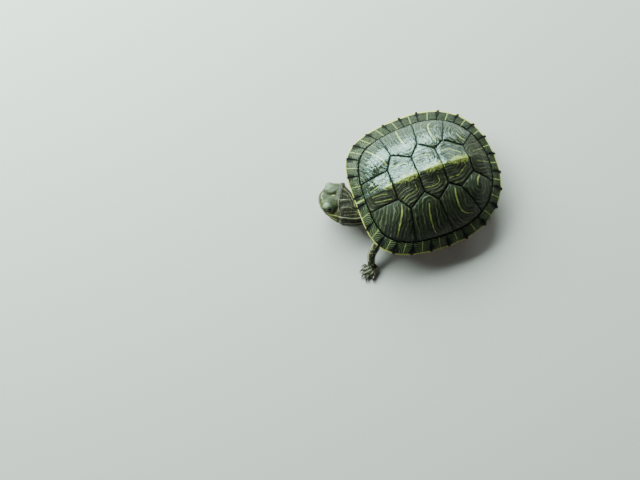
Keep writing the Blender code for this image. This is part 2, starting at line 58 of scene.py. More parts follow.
class Flow:
    """One value on its way through a finish: sums on it become Math nodes."""

    def __init__(self, finish, socket):
        self.finish, self.socket = finish, socket

    def math(self, operation, *values):
        return self.finish.node("ShaderNodeMath", {"operation": operation}, dict(enumerate(values)))

    def __add__(self, other):
        return self.math("ADD", self, other)

    __radd__ = __add__

    def __sub__(self, other):
        return self.math("SUBTRACT", self, other)

    def __rsub__(self, other):
        return self.math("SUBTRACT", other, self)

    def __mul__(self, other):
        return self.math("MULTIPLY", self, other)

    __rmul__ = __mul__

    def __truediv__(self, other):
        return self.math("DIVIDE", self, other)

    def __pow__(self, other):
        return self.math("POWER", self, other)

    def __abs__(self):
        return self.math("ABSOLUTE", self)

    def at_least(self, other):
        return self.math("MAXIMUM", self, other)

    def wave(self):
        """A wave between -1 and 1 that peaks at every whole number."""
        return self.math("COSINE", self * (2 * math.pi))

    def swing(self, start, end):
        """0 at start and before it, 1 at end and beyond, smooth between; start may be larger."""
        values = {"Value": self, "From Min": start, "From Max": end}
        return self.finish.node("ShaderNodeMapRange", {"interpolation_type": "SMOOTHSTEP"}, values)


class Finish:
    """A material whose nodes are added one by one."""

    def __init__(self, name, **constants):
        self.material = bpy.data.materials.new(name)
        self.material.use_nodes = True
        self.tree = self.material.node_tree
        self.shader = self.tree.nodes["Principled BSDF"]
        for socket, value in constants.items():
            self.feed(socket.replace("_", " "), value)

    def put(self, socket, value):
        if isinstance(value, Flow):
            self.tree.links.new(value.socket, socket)
        elif socket.type == "RGBA":
            socket.default_value = (*value, 1.0)
        else:
            socket.default_value = value

    def node(self, kind, settings, values, output=0):
        made = self.tree.nodes.new(kind)
        for name, value in settings.items():
            setattr(made, name, value)
        for name, value in values.items():
            self.put(made.inputs[name], value)
        return Flow(self, made.outputs[output])

    def feed(self, socket, value):
        self.put(self.shader.inputs[socket], value)

    def blend(self, amount, under, over):
        """Colour under where amount is 0 and over where it is 1."""
        return self.node("ShaderNodeMix", {"data_type": "RGBA"}, {0: amount, 6: under, 7: over}, 2)

    def layer(self, colour, *layers):
        """Colour with others laid over it one by one, each given as its amount and itself."""
        for amount, over in layers:
            colour = self.blend(amount, colour, over)
        return colour

    def noted(self, names):
        """The numbers kept under these names at each point of the mesh."""
        return [
            self.node("ShaderNodeAttribute", {"attribute_name": name}, {}, "Fac")
            for name in names.split()
        ]

    def place(self):
        return self.node("ShaderNodeTexCoord", {}, {}, "Object")

    def along(self, axis):
        """How far along X, Y or Z, in millimetres."""
        return self.node("ShaderNodeSeparateXYZ", {}, {"Vector": self.place()}, axis) * 1000

    def noise(self, size_mm, detail=2.0):
        values = {"Vector": self.place(), "Scale": 1000 / size_mm, "Detail": detail}
        return self.node("ShaderNodeTexNoise", {}, values)

    def cells(self, size_mm, **settings):
        values = {"Vector": self.place(), "Scale": 1000 / size_mm}
        return self.node("ShaderNodeTexVoronoi", settings, values)

    def cover(self, amount, colour, **constants):
        """A second, duller surface that takes over where amount is 1."""
        second = self.tree.nodes.new("ShaderNodeBsdfPrincipled")
        self.put(second.inputs["Base Color"], colour)
        for link in self.shader.inputs["Normal"].links:
            self.tree.links.new(link.from_socket, second.inputs["Normal"])
        for socket, value in constants.items():
            self.put(second.inputs[socket.replace("_", " ")], value)
        both = self.tree.nodes.new("ShaderNodeMixShader")
        self.put(both.inputs[0], amount)
        self.tree.links.new(self.shader.outputs[0], both.inputs[1])
        self.tree.links.new(second.outputs[0], both.inputs[2])
        self.tree.links.new(both.outputs[0], self.tree.nodes["Material Output"].inputs["Surface"])

    def relief(self, height, depth_mm):
        """A small rise of the surface where height is 1."""
        values = {"Strength": 1.0, "Distance": depth_mm / 1000, "Height": height}
        self.feed("Normal", self.node("ShaderNodeBump", {}, values))


def wear(obj, finish):
    obj.data.materials.clear()
    obj.data.materials.append(finish.material)


seam_skin = Finish("seam_skin", Roughness=0.6)
stain = seam_skin.noise(1.5)
seam_skin.feed("Base Color", seam_skin.blend(stain, (0.010, 0.011, 0.006), (0.035, 0.036, 0.018)))
seam_skin.relief(stain, 0.05)
wear(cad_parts["carapace"], seam_skin)


# ---- The scutes of the back ----
# Five vertebral and eight costal plates of thin wet horn, grown edge to edge on the bone. Each
# is a sheet cut from a fine grid along its seams, laid over the dome and given its thickness.

HALF_WIDTH = 1000 * max(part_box(f"marginal_left_{i}")[1].x for i in (6, 7))
HALF_LENGTH = 1000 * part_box("marginal_left_12")[1].y
ROUNDNESS, FRONT_SQUARENESS = 2.3, 1.4
RIM_SIDE, RIM_FRONT_RISE, RIM_REAR_RISE = 5.8, 2.2, 0.8
APEX = 16.4
DOME_PROFILE = (
    (0.0, 1.0), (0.2, 0.96), (0.4, 0.83), (0.6, 0.63), (0.75, 0.40), (0.83, 0.23), (1.0, 0.0),
)
KEEL_WIDTH = 2.4
KEEL_ALONG = ((-17.5, 0.15), (-9.6, 0.5), (-2.0, 0.75), (4.5, 0.75), (11.3, 0.6), (17.3, 0.1))
MARGINAL_INNER, MARGINAL_INNER_RISE = 0.83, 0.03
RIGHT_BROADER = 0.055
COSTAL_SEAMS = (13.3, 61.4, 96.0, 127.0, 155.6)
VERTEBRAL_SEAMS = (-9.5, -2.3, 4.3, 11.4)
VERTEBRAL_ENDS = (-17.3, *VERTEBRAL_SEAMS, 17.0)
VERTEBRAL_CORNERS = ((4.1, -9.3), (4.8, -2.5), (4.9, 4.0), (3.6, 11.4))
VERTEBRAL_POINTS = ((7.6, -7.1), (7.9, 0.3), (6.6, 6.8))
SCUTE_CELL = 0.2
SCUTE_THICK = 0.5
SEAM = 0.1
SEAM_ROLL = 0.15
PILLOW = 0.24
FLANK = 4.3
FLANK_WIDTH = 1.9
FLANK_DEEP = 0.32
FAR = 9.0
CREASE = math.radians(55)


def smooth_through(points, at):
    """A smooth curve through (x, y) points that never swings past them."""
    xs, ys = np.array(points, float).T
    at = np.clip(at, xs[0], xs[-1])
    slopes = np.diff(ys) / np.diff(xs)
    both = slopes[:-1] * slopes[1:]
    total = slopes[:-1] + slopes[1:]
    inner = np.where(both > 0, 2 * both / np.where(both > 0, total, 1.0), 0.0)
    tangents = np.concatenate([slopes[:1], inner, slopes[-1:]])
    i = np.clip(np.searchsorted(xs, at, side="right") - 1, 0, len(slopes) - 1)
    span = xs[i + 1] - xs[i]
    t = (at - xs[i]) / span
    return (
        ys[i] * (1 + 2 * t) * (1 - t) ** 2
        + tangents[i] * span * t * (1 - t) ** 2
        + ys[i + 1] * t * t * (3 - 2 * t)
        - tangents[i + 1] * span * t * t * (1 - t)
    )


def ramp(value, start, span):
    """0 up to start, then up to 1 over the span; a negative span turns it round."""
    return np.clip((value - start) / span, 0, 1)


def hump(value, width):
    """1 at nought, falling away smoothly on both sides."""
    return np.exp(-((value / width) ** 2))


def through(values, at):
    """A smooth curve through values that stand one step apart."""
    return smooth_through(list(zip(np.arange(len(values)), values)), at)


def rim_radius(angle):
    power = ROUNDNESS + FRONT_SQUARENESS * np.maximum(0.0, np.cos(angle)) ** 1.5
    across = np.abs(np.sin(angle) / HALF_WIDTH) ** power
    along = np.abs(np.cos(angle) / HALF_LENGTH) ** power
    return (across + along) ** (-1 / power)


def rim_height(angle):
    ahead = np.cos(angle)
    front = RIM_FRONT_RISE * np.maximum(0.0, ahead) ** 2
    return RIM_SIDE + front + RIM_REAR_RISE * np.maximum(0.0, -ahead) ** 2


def dome_height(x, y):
    angle = np.arctan2(x, -y)
    part_way = np.minimum(np.hypot(x, y) / rim_radius(angle), 1.0)
    rim = rim_height(angle)
    return rim + (APEX - rim) * smooth_through(DOME_PROFILE, part_way)


def shell_height(x, y):
    ridge = np.maximum(0.0, 1 - np.abs(x) / KEEL_WIDTH) ** 1.3
    return dome_height(x, y) + ridge * smooth_through(KEEL_ALONG, y)


def along_scute(y):
    """How far back on its own vertebral a place is, 0 to 1."""
    return np.interp(y, VERTEBRAL_ENDS, np.arange(6)) % 1


def horn_height(x, y):
    """The dome with hollow flanks beside a keel that swells towards the rear of each scute."""
    flank = hump(np.abs(x) - FLANK, FLANK_WIDTH) * ramp(np.abs(y - 0.5), 15.5, -3)
    swell = np.interp(along_scute(y), (0.0, 0.10, 0.72, 0.90, 1.0), (-0.16, -0.11, 0.0, -0.02, -0.16))
    crest = hump(x, 1.1) * ramp(np.abs(y), 12.5, -2)
    return shell_height(x, y) - FLANK_DEEP * flank + swell * crest


def inner_edge(angle):
    """How far out the marginals begin; this animal's are a little broader on its right."""
    right = np.minimum(0.0, np.sin(angle))
    return MARGINAL_INNER + MARGINAL_INNER_RISE * np.cos(angle) ** 2 + RIGHT_BROADER * right


def ring_arc(side, start, end):
    """Plan points along the marginals' inner edge, between two directions from the middle."""
    angle = side * np.radians(start + (end - start) * np.arange(9) / 8)
    reach = inner_edge(angle) * rim_radius(angle)
    return list(np.stack([reach * np.sin(angle), -reach * np.cos(angle)], axis=1))


def places(obj):
    points = np.empty(len(obj.data.vertices) * 3)
    obj.data.vertices.foreach_get("co", points)
    return points.reshape(-1, 3)


def lay(obj, points):
    obj.data.vertices.foreach_set("co", np.ascontiguousarray(points, np.float32).ravel())
    obj.data.update()


def note(obj, **values):
    """Keeps a number for each point of the mesh, for its finish to read."""
    for name, value in values.items():
        kept = obj.data.attributes.new(name, "FLOAT", "POINT")
        kept.data.foreach_set("value", np.ascontiguousarray(value, np.float32))


def beside(points, path):
    """Distance of points from a path, and how far along it the nearest place is, 0 to 1."""
    nearest, at = np.full(len(points), np.inf), np.zeros(len(points))
    path = np.asarray(path, float)
    steps = np.linalg.norm(np.diff(path, axis=0), axis=1)
    gone = 0.0
    for start, end, step in zip(path[:-1], path[1:], steps):
        run = end - start
        t = np.clip((points - start) @ run / (run @ run), 0, 1)
        away = np.linalg.norm(points - start - t[:, None] * run, axis=1)
        at = np.where(away < nearest, (gone + t * step) / steps.sum(), at)
        nearest = np.minimum(nearest, away)
        gone += step
    return nearest, at


def off_path(points, path):
    return beside(points, path)[0]


def fine_path(points, step=0.2):
    """A smooth path through a few points, as many close ones."""
    points = np.array(points, float)
    count = max(3, int(np.linalg.norm(np.diff(points, axis=0), axis=1).sum() / step))
    at = np.linspace(0, len(points) - 1, count)
    return np.stack([through(column, at) for column in points.T], 1)


def pick(*pieces):
    """Selects only these pieces and makes the first one active."""
    bpy.ops.object.select_all(action="DESELECT")
    for piece in pieces:
        piece.select_set(True)
    bpy.context.view_layer.objects.active = pieces[0]


def modify(obj, kind, **settings):
    """Adds one modifier and applies it."""
    bpy.context.view_layer.objects.active = obj
    added = obj.modifiers.new(kind.lower(), kind)
    for name, value in settings.items():
        setattr(added, name, value)
    bpy.ops.object.modifier_apply(modifier=added.name)


def thicken(obj, thickness):
    modify(obj, "SOLIDIFY", thickness=thickness, offset=-1)


def settle(obj, finish, slot, *nodes):
    """Shrinks a finished piece to life size, gives it its finish and hides the CAD nodes it stands in
    for.
    """
    pick(obj)
    obj.scale = (0.001, 0.001, 0.001)
    bpy.ops.object.transform_apply(location=True, rotation=True, scale=True)
    bpy.ops.object.shade_smooth_by_angle(angle=CREASE)
    wear(obj, finish)
    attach(obj, "root")
    if nodes:
        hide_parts(*nodes)


def cut_sheet(name, outline):
    """A fine flat grid over the outline, cut to it a little inside each seam."""
    low, high = np.min(outline, axis=0) - SCUTE_CELL, np.max(outline, axis=0) + SCUTE_CELL
    low[0], high[0] = (-high[0], high[0]) if low[0] < 0 < high[0] else (low[0], high[0])
    cells = 2 * np.ceil((high - low) / SCUTE_CELL / 2).astype(int)
    bpy.ops.object.select_all(action="DESELECT")
    bpy.ops.mesh.primitive_grid_add(
        x_subdivisions=int(cells[0]), y_subdivisions=int(cells[1]), size=1,
        location=(*(low + high) / 2, 0),
    )
    sheet = bpy.context.object
    sheet.name = name
    sheet.scale = (*(high - low), 1)
    bpy.ops.object.transform_apply(location=True, rotation=True, scale=True)
    bpy.ops.object.mode_set(mode="EDIT")
    for start, end in zip(outline, outline[1:] + outline[:1]):
        outwards = np.array((end[1] - start[1], start[0] - end[0]))
        outwards = outwards / np.hypot(*outwards)
        cut = np.array(start) - outwards * SEAM / 2
        bpy.ops.mesh.select_all(action="SELECT")
        bpy.ops.mesh.bisect(
            plane_co=(*cut, 0), plane_no=(*outwards, 0), clear_outer=True, threshold=0.002
        )
    bpy.ops.object.mode_set(mode="OBJECT")
    return sheet


def raise_scute(sheet, outline, bars, keel, drained):
    """Lays the sheet over the dome, a little pillowed, with its edge rolled into the seam."""
    points = places(sheet)
    plan = points[:, :2].copy()
    edge = off_path(plan, outline + outline[:1])
    height = horn_height(plan[:, 0], plan[:, 1]) - PILLOW * np.exp(-edge / 0.9)
    points[:, 2] = height - SEAM_ROLL * hump(edge, 0.16)
    lay(sheet, points)
    rings, bar = np.full(len(plan), 99.0), np.full(len(plan), 99.0)
    for path in bars:
        away, at = beside(plan, fine_path(path))
        spread = (0.72 if keel else 0.76) + 0.013 * np.hypot(*plan.T)
        rings = np.minimum(rings, away / spread)
        broad = np.sin(math.pi * np.clip(at * 0.84 + 0.14, 0, 1)) ** 0.8
        bar = np.minimum(bar, away - (0.12 if keel else 0.02 + 0.21 * broad))
    crest = np.abs(plan[:, 0] + 0.1) + 2.0 * ramp(np.abs(plan[:, 1] - 0.5), 10.5, 4)
    crest = crest + (1.1 * ramp(along_scute(plan[:, 1]), 0.42, -0.42) if keel else FAR)
    note(sheet, edge=edge, rings=rings, bar=bar, crest=crest, drained=drained(plan[:, 0]))
    thicken(sheet, SCUTE_THICK)


def finish_horn(finish, colour, edge, lines, dull=0.0):
    """The last of a scute: the dark seam, small pits, and the fine ridges of its lines."""
    seam = edge.swing(0.22, 0.08)
    dull = seam + dull
    grain = finish.noise(0.40, 3.0)
    swell = finish.noise(1.3, 1.5)
    colour = finish.blend(seam, colour, (0.004, 0.005, 0.003))
    finish.feed("Base Color", colour)
    finish.relief(lines * 0.60 + grain * 0.45 + swell * 2.4 - seam * 0.8, 0.11)
    finish.feed("Roughness", 0.07 + grain * 0.12 + lines * 0.10 + dull * 0.4)
    return colour


OLIVE = (0.012, 0.016, 0.009)
BOTTLE = (0.022, 0.031, 0.018)
LEAF = (0.118, 0.142, 0.068)
LIME = (0.34, 0.40, 0.10)
MOSS = (0.215, 0.225, 0.036)


def back_finish():
    """Fine yellow-green lines beside one broad bright bar, a mossy keel; a duller gloss and painted
    shade on the left and on the last vertebral.
    """
    finish = Finish(
        "back_horn", Coat_Weight=0.12, Coat_Roughness=0.22,
        Specular_IOR_Level=0.84, Specular_Tint=(0.70, 1.0, 0.94),
    )
    rings, bar, edge, crest, drained = finish.noted("rings bar edge crest drained")
    wander = (finish.noise(3.6, 1.0) - 0.5) * 1.5 + (finish.noise(1.0, 2.0) - 0.5) * 0.42
    lines = (rings + wander).wave().swing(-0.05, 0.95)
    between = (rings * 2 + wander * 2.6).wave().swing(0.2, 1.0)
    bold = (rings * 0.43 + wander * 0.4 + 0.1).wave() * 0.5 + 0.5
    strength = finish.noise(1.7, 2.0).swing(0.32, 0.60)
    faint = finish.noise(2.6, 1.0).swing(0.42, 0.62)
    seen = lines * (0.16 + strength * 0.84) * (0.40 + bold * 0.60)
    seen = seen.at_least(between * faint * 0.45) * edge.swing(0.12, 0.4)
    ragged = bar + (finish.noise(0.6, 2.0) - 0.5) * 0.22
    mossy = (crest + (finish.noise(0.55, 3.0) - 0.5) * 3.2).swing(1.25, 0.50)
    colour = finish.layer(
        finish.blend(finish.noise(4.0), OLIVE, BOTTLE),
        (seen, LEAF),
        (ragged.swing(0.34, 0.08) * 0.75, OLIVE),
        (ragged.swing(0.05, -0.07) * (0.55 + strength * 0.45), LIME),
        # Painted shade: the left half and the fifth vertebral are darkened, most beside the keel.
        (drained * (0.15 + crest.swing(8.5, 7.5) * 0.28), (0.020, 0.015, 0.007)),
        (mossy * 0.9, finish.blend(finish.noise(0.35, 2.0).swing(0.40, 0.66), MOSS, LIME)),
    )
    colour = finish_horn(finish, colour, edge, lines.at_least(between * faint))
    finish.cover(drained, colour, Roughness=0.42, Specular_IOR_Level=0.20)
    return finish


back_horn = back_finish()
COSTAL_BARS = (
    ((5.7, -9.0), (7.4, -9.5), (8.9, -10.3), (11.0, -11.6), (13.2, -13.0)),
    ((7.9, -2.4), (9.8, -2.9), (11.9, -3.2), (13.9, -3.2), (15.5, -2.7)),
    ((6.6, 4.9), (8.6, 4.6), (10.2, 4.6), (12.1, 5.0), (13.2, 6.4), (13.5, 7.9)),
    ((4.8, 12.7), (6.2, 11.5), (7.8, 11.0)),
)
VERTEBRAL_BARS = (
    (((2.2, -15.1), (2.8, -13.2), (3.3, -10.8)), ((0.8, -15.2), (1.1, -13.2), (1.7, -11.2))),
    (((4.9, -8.2), (4.2, -6.7), (4.1, -5.3), (3.5, -4.1), (2.5, -4.2)),),
    (((4.0, -2.0), (4.3, 0.2), (3.6, 1.9), (2.4, 1.9)),),
    (((3.7, 4.5), (3.7, 6.8), (3.0, 8.2), (1.8, 9.8)),),
    (((1.4, 13.3), (1.7, 15.0), (2.0, 17.0)),),
)


def half_outlines(side):
    """The outer halves of the vertebrals, and the costals, as seam corners on one side."""
    corners = [np.array((side * x, y)) for x, y in VERTEBRAL_CORNERS]
    points_out = [np.array((side * x, y)) for x, y in VERTEBRAL_POINTS]
    arcs = [ring_arc(side, *ends) for ends in zip((0.0, *COSTAL_SEAMS), (*COSTAL_SEAMS, 180.0))]
    halves = [
        arcs[0][1:] + [corners[0]],
        [corners[0], points_out[0], corners[1]],
        [corners[1], points_out[1], corners[2]],
        [corners[2], points_out[2], corners[3]],
        [corners[3]] + arcs[5][:-1],
    ]
    costals = [
        arcs[1] + [points_out[0], corners[0]],
        arcs[2] + [points_out[1], corners[1], points_out[0]],
        arcs[3] + [points_out[2], corners[2], points_out[1]],
        arcs[4] + [corners[3], points_out[2]],
    ]
    return halves, costals


def mirrored(path):
    return [np.array((-x, y)) for x, y in path]


left_halves, left_costals = half_outlines(1)
right_halves, right_costals = half_outlines(-1)
# Left halves of the vertebrals, the whole fifth vertebral and the left costals get a duller gloss and
# painted shade.
for i, (half, other, bars) in enumerate(zip(left_halves, right_halves, VERTEBRAL_BARS)):
    outline = half + other[::-1]
    sheet = cut_sheet(f"vertebral_{i + 1}_horn", outline)
    duller_shade_from = -9.0 if i == 4 else -0.4
    raise_scute(
        sheet, outline, [*bars, *map(mirrored, bars)], True, lambda x: ramp(x, duller_shade_from, 0.8)
    )
    settle(sheet, back_horn, "back_scutes", f"vertebral_{i + 1}")
for i, (left, right, bar) in enumerate(zip(left_costals, right_costals, COSTAL_BARS)):
    for side, own, stripe in (("left", left, bar), ("right", right[::-1], mirrored(bar))):
        sheet = cut_sheet(f"costal_{side}_{i + 1}_horn", own)
        raise_scute(sheet, own, [stripe], False, lambda x: np.float32(x > 0))
        settle(sheet, back_horn, "back_scutes", f"costal_{side}_{i + 1}")


# ---- The rim: marginal scutes and the nuchal ----
# Each marginal is a plate of horn folded over the edge of the shell. All are one plain tube,
# laid flat round the rim between two seams, with a bright edge and loops of yellow-green.

MARGINAL_SEAMS = (
    4.0, 21.5, 35.7, 47.1, 59.7, 74.4, 88.8, 103.8, 121.2, 137.0, 151.3, 164.5, 180.0,
)
EDGE_THICK = 0.52
ROOT_THICK = 0.75
RIM_POINT = 0.024
TONGUE, TONGUE_DEEP = 0.4, 0.40


def tube(name, sides, rings):
    """A plain closed tube of unit radius, from -1 to 1, ready to be laid along something."""
    bpy.ops.object.select_all(action="DESELECT")
    bpy.ops.mesh.primitive_cylinder_add(vertices=sides, radius=1, depth=2, end_fill_type="NGON")
    made = bpy.context.object
    made.name = name
    bpy.ops.object.mode_set(mode="EDIT")
    for k in range(1, rings):
        bpy.ops.mesh.select_all(action="SELECT")
        bpy.ops.mesh.bisect(plane_co=(0, 0, 2 * k / rings - 1), plane_no=(0, 0, 1), threshold=1e-4)
    bpy.ops.object.mode_set(mode="OBJECT")
    return made


def copy_of(obj, name):
    """A copy with its own mesh."""
    made = obj.copy()
    made.data = obj.data.copy()
    made.name = name
    bpy.context.scene.collection.objects.link(made)
    return made


def outward_normals(obj):
    pick(obj)
    bpy.ops.object.mode_set(mode="EDIT")
    bpy.ops.mesh.select_all(action="SELECT")
    bpy.ops.mesh.normals_make_consistent(inside=False)
    bpy.ops.object.mode_set(mode="OBJECT")


def marginal_finish():
    """Nested loops round each seam's dark outer point, a pale line between, a yellow rim; painted shade
    on the right and at the rear.
    """
    finish = Finish("marginal_horn", Specular_IOR_Level=0.14)
    seam, inwards, under, edge, mark, lip, broad = finish.noted(
        "seam inwards under edge mark lip broad"
    )
    wander = finish.noise(2.0, 1.0) - 0.5
    loop = (seam ** 3.0 + inwards ** 3.0) ** (1 / 3)
    lines = (loop / 0.42 + wander * 0.7).wave().swing(0.0, 0.9)
    strength = finish.noise(1.1, 2.0).swing(0.3, 0.6)
    ragged = ((seam / 0.85) ** 2.0 + (inwards / 1.9) ** 2.0) ** 0.5 + wander * 0.8
    blot = ragged.swing(1.40, 0.90)
    bright = (lip + wander * 0.2).swing(0.42, 0.28) * seam.swing(0.20, 0.36)
    top = finish.layer(
        finish.blend(finish.noise(3.0), OLIVE, BOTTLE),
        (lines * (0.45 + strength * 0.55), (0.14, 0.175, 0.080)),
        # Painted shade darkens the marginals on the right and at the rear.
        (broad * 0.55, (0.004, 0.006, 0.005)),
        (mark.swing(0.10, -0.02) * 0.8, (0.38, 0.43, 0.13)),
        (blot * 0.90, (0.003, 0.003, 0.003)),
        (bright, (0.56, 0.55, 0.13)),
    )
    spot = ((seam - 0.3) ** 2.0 + (inwards - 1.2) ** 2.0) ** 0.5 + wander * 0.8
    below = finish.layer(
        (0.64, 0.52, 0.14),
        (spot.swing(1.3, 1.0), (0.016, 0.022, 0.012)),
        (spot.swing(0.75, 0.45) * 0.6, (0.30, 0.26, 0.08)),
    )
    finish_horn(finish, finish.blend(under.swing(0.40, 0.65), top, below), edge, lines, blot)
    point = (seam + lip * 0.3).swing(0.55, 0.25) * under.swing(0.62, 0.42)
    finish.cover(point, (0.004, 0.004, 0.004), Roughness=0.8, Specular_IOR_Level=0.1)
    return finish


rim_horn = marginal_finish()
blank = tube("marginal_blank", 30, 14)
blank_places = places(blank)
turn = np.arctan2(blank_places[:, 1], blank_places[:, 0])
ALONG = (blank_places[:, 2] + 1) / 2
OUT = (1 + np.cos(turn)) / 2
FOLD = np.sign(np.sin(turn)) * np.abs(np.sin(turn)) ** 0.45


def lay_marginal(name, start, end):
    """One plate between two directions from the middle, folded over the shell's edge."""
    piece = copy_of(blank, f"{name}_horn")
    trim = SEAM / 6 / HALF_WIDTH
    angle = start + trim + (end - start - 2 * trim) * ALONG
    root = inner_edge(angle) + SEAM / 2 / HALF_WIDTH
    inner = root - TONGUE / HALF_WIDTH
    length = (end - start) * HALF_WIDTH
    corner = np.minimum(ALONG, 1 - ALONG) * length
    spike = RIM_POINT * (0.65 + 0.35 * ramp(np.abs(angle), 1.6, 0.6)) * ramp(np.abs(angle), 0.5, 1)
    notch = spike * (1 - np.exp(-((corner / 0.45) ** 1.5))) * OUT ** 3
    part_way = inner + (1 - inner) * OUT - notch
    reach = part_way * rim_radius(angle)
    x, y = reach * np.sin(angle), -reach * np.cos(angle)
    edge = np.minimum(corner, (part_way - root) * HALF_WIDTH + 0.02)
    top = dome_height(x, y) - 0.03 - 0.11 * hump(np.maximum(edge, 0), 0.18)
    top = top - TONGUE_DEEP * ramp(edge, 0, -0.15)
    top = top + 0.09 * np.sin(np.pi * OUT) * np.sin(np.pi * ALONG)
    rim = rim_height(angle)
    bottom = rim - ROOT_THICK + (ROOT_THICK - EDGE_THICK) * OUT + 0.4 * (1 - OUT) ** 2
    z = (top + bottom) / 2 + (top - bottom) / 2 * FOLD
    lay(piece, np.stack([x, y, z], axis=1))
    outward_normals(piece)
    mark = np.abs(ALONG - 0.5) * length - (0.22 if name == "nuchal" else 0.05)
    inwards = (1 - OUT) * (1 - inner) * HALF_WIDTH
    # broad marks the right and the rear: painted shade there, and a wider yellow lip.
    broad = np.clip(0.9 - 1.2 * np.sin(angle), 0, 1) * ramp(np.abs(angle), 0.8, 0.8)
    under = (1 - FOLD) / 2 * ramp(OUT, 0, 0.1)
    note(piece, seam=corner, inwards=inwards, under=under, edge=edge, mark=mark)
    note(piece, lip=inwards + 0.12 - 0.40 * broad, broad=broad)
    settle(piece, rim_horn, "rim_scutes", name)


seams = [math.radians(a) for a in MARGINAL_SEAMS]
lay_marginal("nuchal", -seams[0], seams[0])
for i in range(12):
    lay_marginal(f"marginal_left_{i + 1}", seams[i], seams[i + 1])
    lay_marginal(f"marginal_right_{i + 1}", -seams[i + 1], -seams[i])
bpy.data.objects.remove(blank)


# ---- The lower shell ----
# The plastron is a flat plate of yellow horn over bone, its six pairs of scutes marked by dark
# blotches. Two slanted bridges of the same horn join it to the rim on each side.

PLASTRON_THICK = 0.9375
BRIDGE_THICK = 0.7
PLASTRON_HALF_WIDTHS = (
    (-18.0, 3.6), (-17.2, 6.4), (-14.0, 8.9), (-10.0, 9.8), (-7.8, 12.6), (-5.5, 13.2),
    (3.5, 13.2), (6.6, 12.6), (8.6, 9.6), (13.0, 8.6), (16.3, 5.6), (17.6, 2.4),
)
PLASTRON_SEAMS = (-13.2, -8.9, -3.4, 4.6, 10.6)
PLASTRON_BLOTS = (
    (2.2, -15.2, 1.5, 1.0), (4.6, -11.2, 2.6, 1.5), (5.4, -6.3, 3.3, 1.7), (6.0, 0.6, 3.8, 2.4),
    (5.0, 7.4, 2.9, 1.9), (3.0, 13.6, 1.9, 1.9),
)


def plastron_rise(y):
    front = np.maximum(0.0, (-y - 11.0) / 7.0) ** 2 * 0.8
    return front + np.maximum(0.0, (y - 12.0) / 5.6) ** 2 * 0.5


def belly_finish():
    finish = Finish("plastron_horn", Coat_Weight=0.5, Coat_Roughness=0.12, Specular_IOR_Level=0.5)
    x, y = abs(finish.along("X")), finish.along("Y")
    drift = finish.noise(2.2, 2.0) - 0.5
    seam = (x + drift * 0.25).swing(0.16, 0.05)
    for at in PLASTRON_SEAMS:
        seam = seam.at_least(abs(y - at - x * 0.04 + drift * 0.3).swing(0.16, 0.05))
    dark = None
    for cx, cy, rx, ry in PLASTRON_BLOTS:
        across, length = (x - cx) / rx, (y - cy) / ry
        away = (across * across + length * length) ** 0.5 + drift * 0.5
        blot = away.swing(1.15, 0.85) - away.swing(0.62, 0.40) * 0.6
        dark = blot if dark is None else dark.at_least(blot)
    finish.feed("Base Color", finish.layer(
        finish.blend(finish.noise(6.0), (0.60, 0.44, 0.085), (0.72, 0.56, 0.14)),
        (dark, (0.028, 0.036, 0.018)), (seam * 0.8, (0.035, 0.028, 0.012)),
    ))
    grain = finish.noise(0.6, 3.0)
    finish.relief(grain * 0.3 - seam, 0.06)
    finish.feed("Roughness", 0.32 + grain * 0.2)
    return finish


belly_horn = belly_finish()
bpy.ops.object.select_all(action="DESELECT")
bpy.ops.mesh.primitive_circle_add(vertices=160, radius=1, fill_type="TRIFAN")
belly = bpy.context.object
belly.name = "plastron_plate"
bpy.ops.object.mode_set(mode="EDIT")
bpy.ops.mesh.select_all(action="SELECT")
bpy.ops.mesh.subdivide(number_cuts=9)
bpy.ops.mesh.flip_normals()
bpy.ops.object.mode_set(mode="OBJECT")
flat = places(belly)
edge_y, edge_half = np.array(PLASTRON_HALF_WIDTHS).T
left_edge = np.stack([edge_half, edge_y], axis=1)
around_edge = np.concatenate([left_edge, left_edge[::-1] * (-1, 1), left_edge[:1]])
steps = np.concatenate([[0], np.cumsum(np.hypot(*np.diff(around_edge, axis=0).T))])
fine = np.linspace(0, steps[-1], 720, endpoint=False)
outline = np.stack([np.interp(fine, steps, around_edge[:, k]) for k in (0, 1)], axis=1)
for _ in range(14):
    outline = (np.roll(outline, 1, axis=0) + 2 * outline + np.roll(outline, -1, axis=0)) / 4
bearings = np.arctan2(outline[:, 1], outline[:, 0])
order = np.argsort(bearings)
own = np.arctan2(flat[:, 1], flat[:, 0])
reach = np.interp(own, bearings[order], np.hypot(*outline.T)[order], period=2 * math.pi)
part = np.hypot(flat[:, 0], flat[:, 1])
x, y = part * reach * np.cos(own), part * reach * np.sin(own)
z = plastron_rise(y) + 0.45 * ramp(part, 0.94, 0.06) ** 2
lay(belly, np.stack([x, y, z], axis=1))
thicken(belly, PLASTRON_THICK)
settle(belly, belly_horn, "under_scutes", "plastron")


def bridge_finish():
    finish = Finish("bridge_horn", Coat_Weight=0.6, Coat_Roughness=0.10, Specular_IOR_Level=0.5)
    y, z = finish.along("Y"), finish.along("Z")
    drift = finish.noise(2.0, 2.0) - 0.5
    bars = (z * 0.38 + y * 0.056 + drift * 0.38).wave().swing(0.1, 0.6)
    blots = (y * 0.21 + drift * 0.32).wave().swing(-0.5, 0.3)
    ground = finish.blend(finish.noise(4.0), (0.50, 0.40, 0.09), (0.62, 0.52, 0.15))
    seam = abs(y + 0.5).swing(0.14, 0.05)
    colour = finish.blend((bars * blots).at_least(seam), ground, (0.024, 0.032, 0.016))
    finish.feed("Base Color", colour)
    grain = finish.noise(0.6, 3.0)
    finish.relief(grain * 0.3 - seam, 0.06)
    finish.feed("Roughness", 0.30 + grain * 0.2)
    return finish


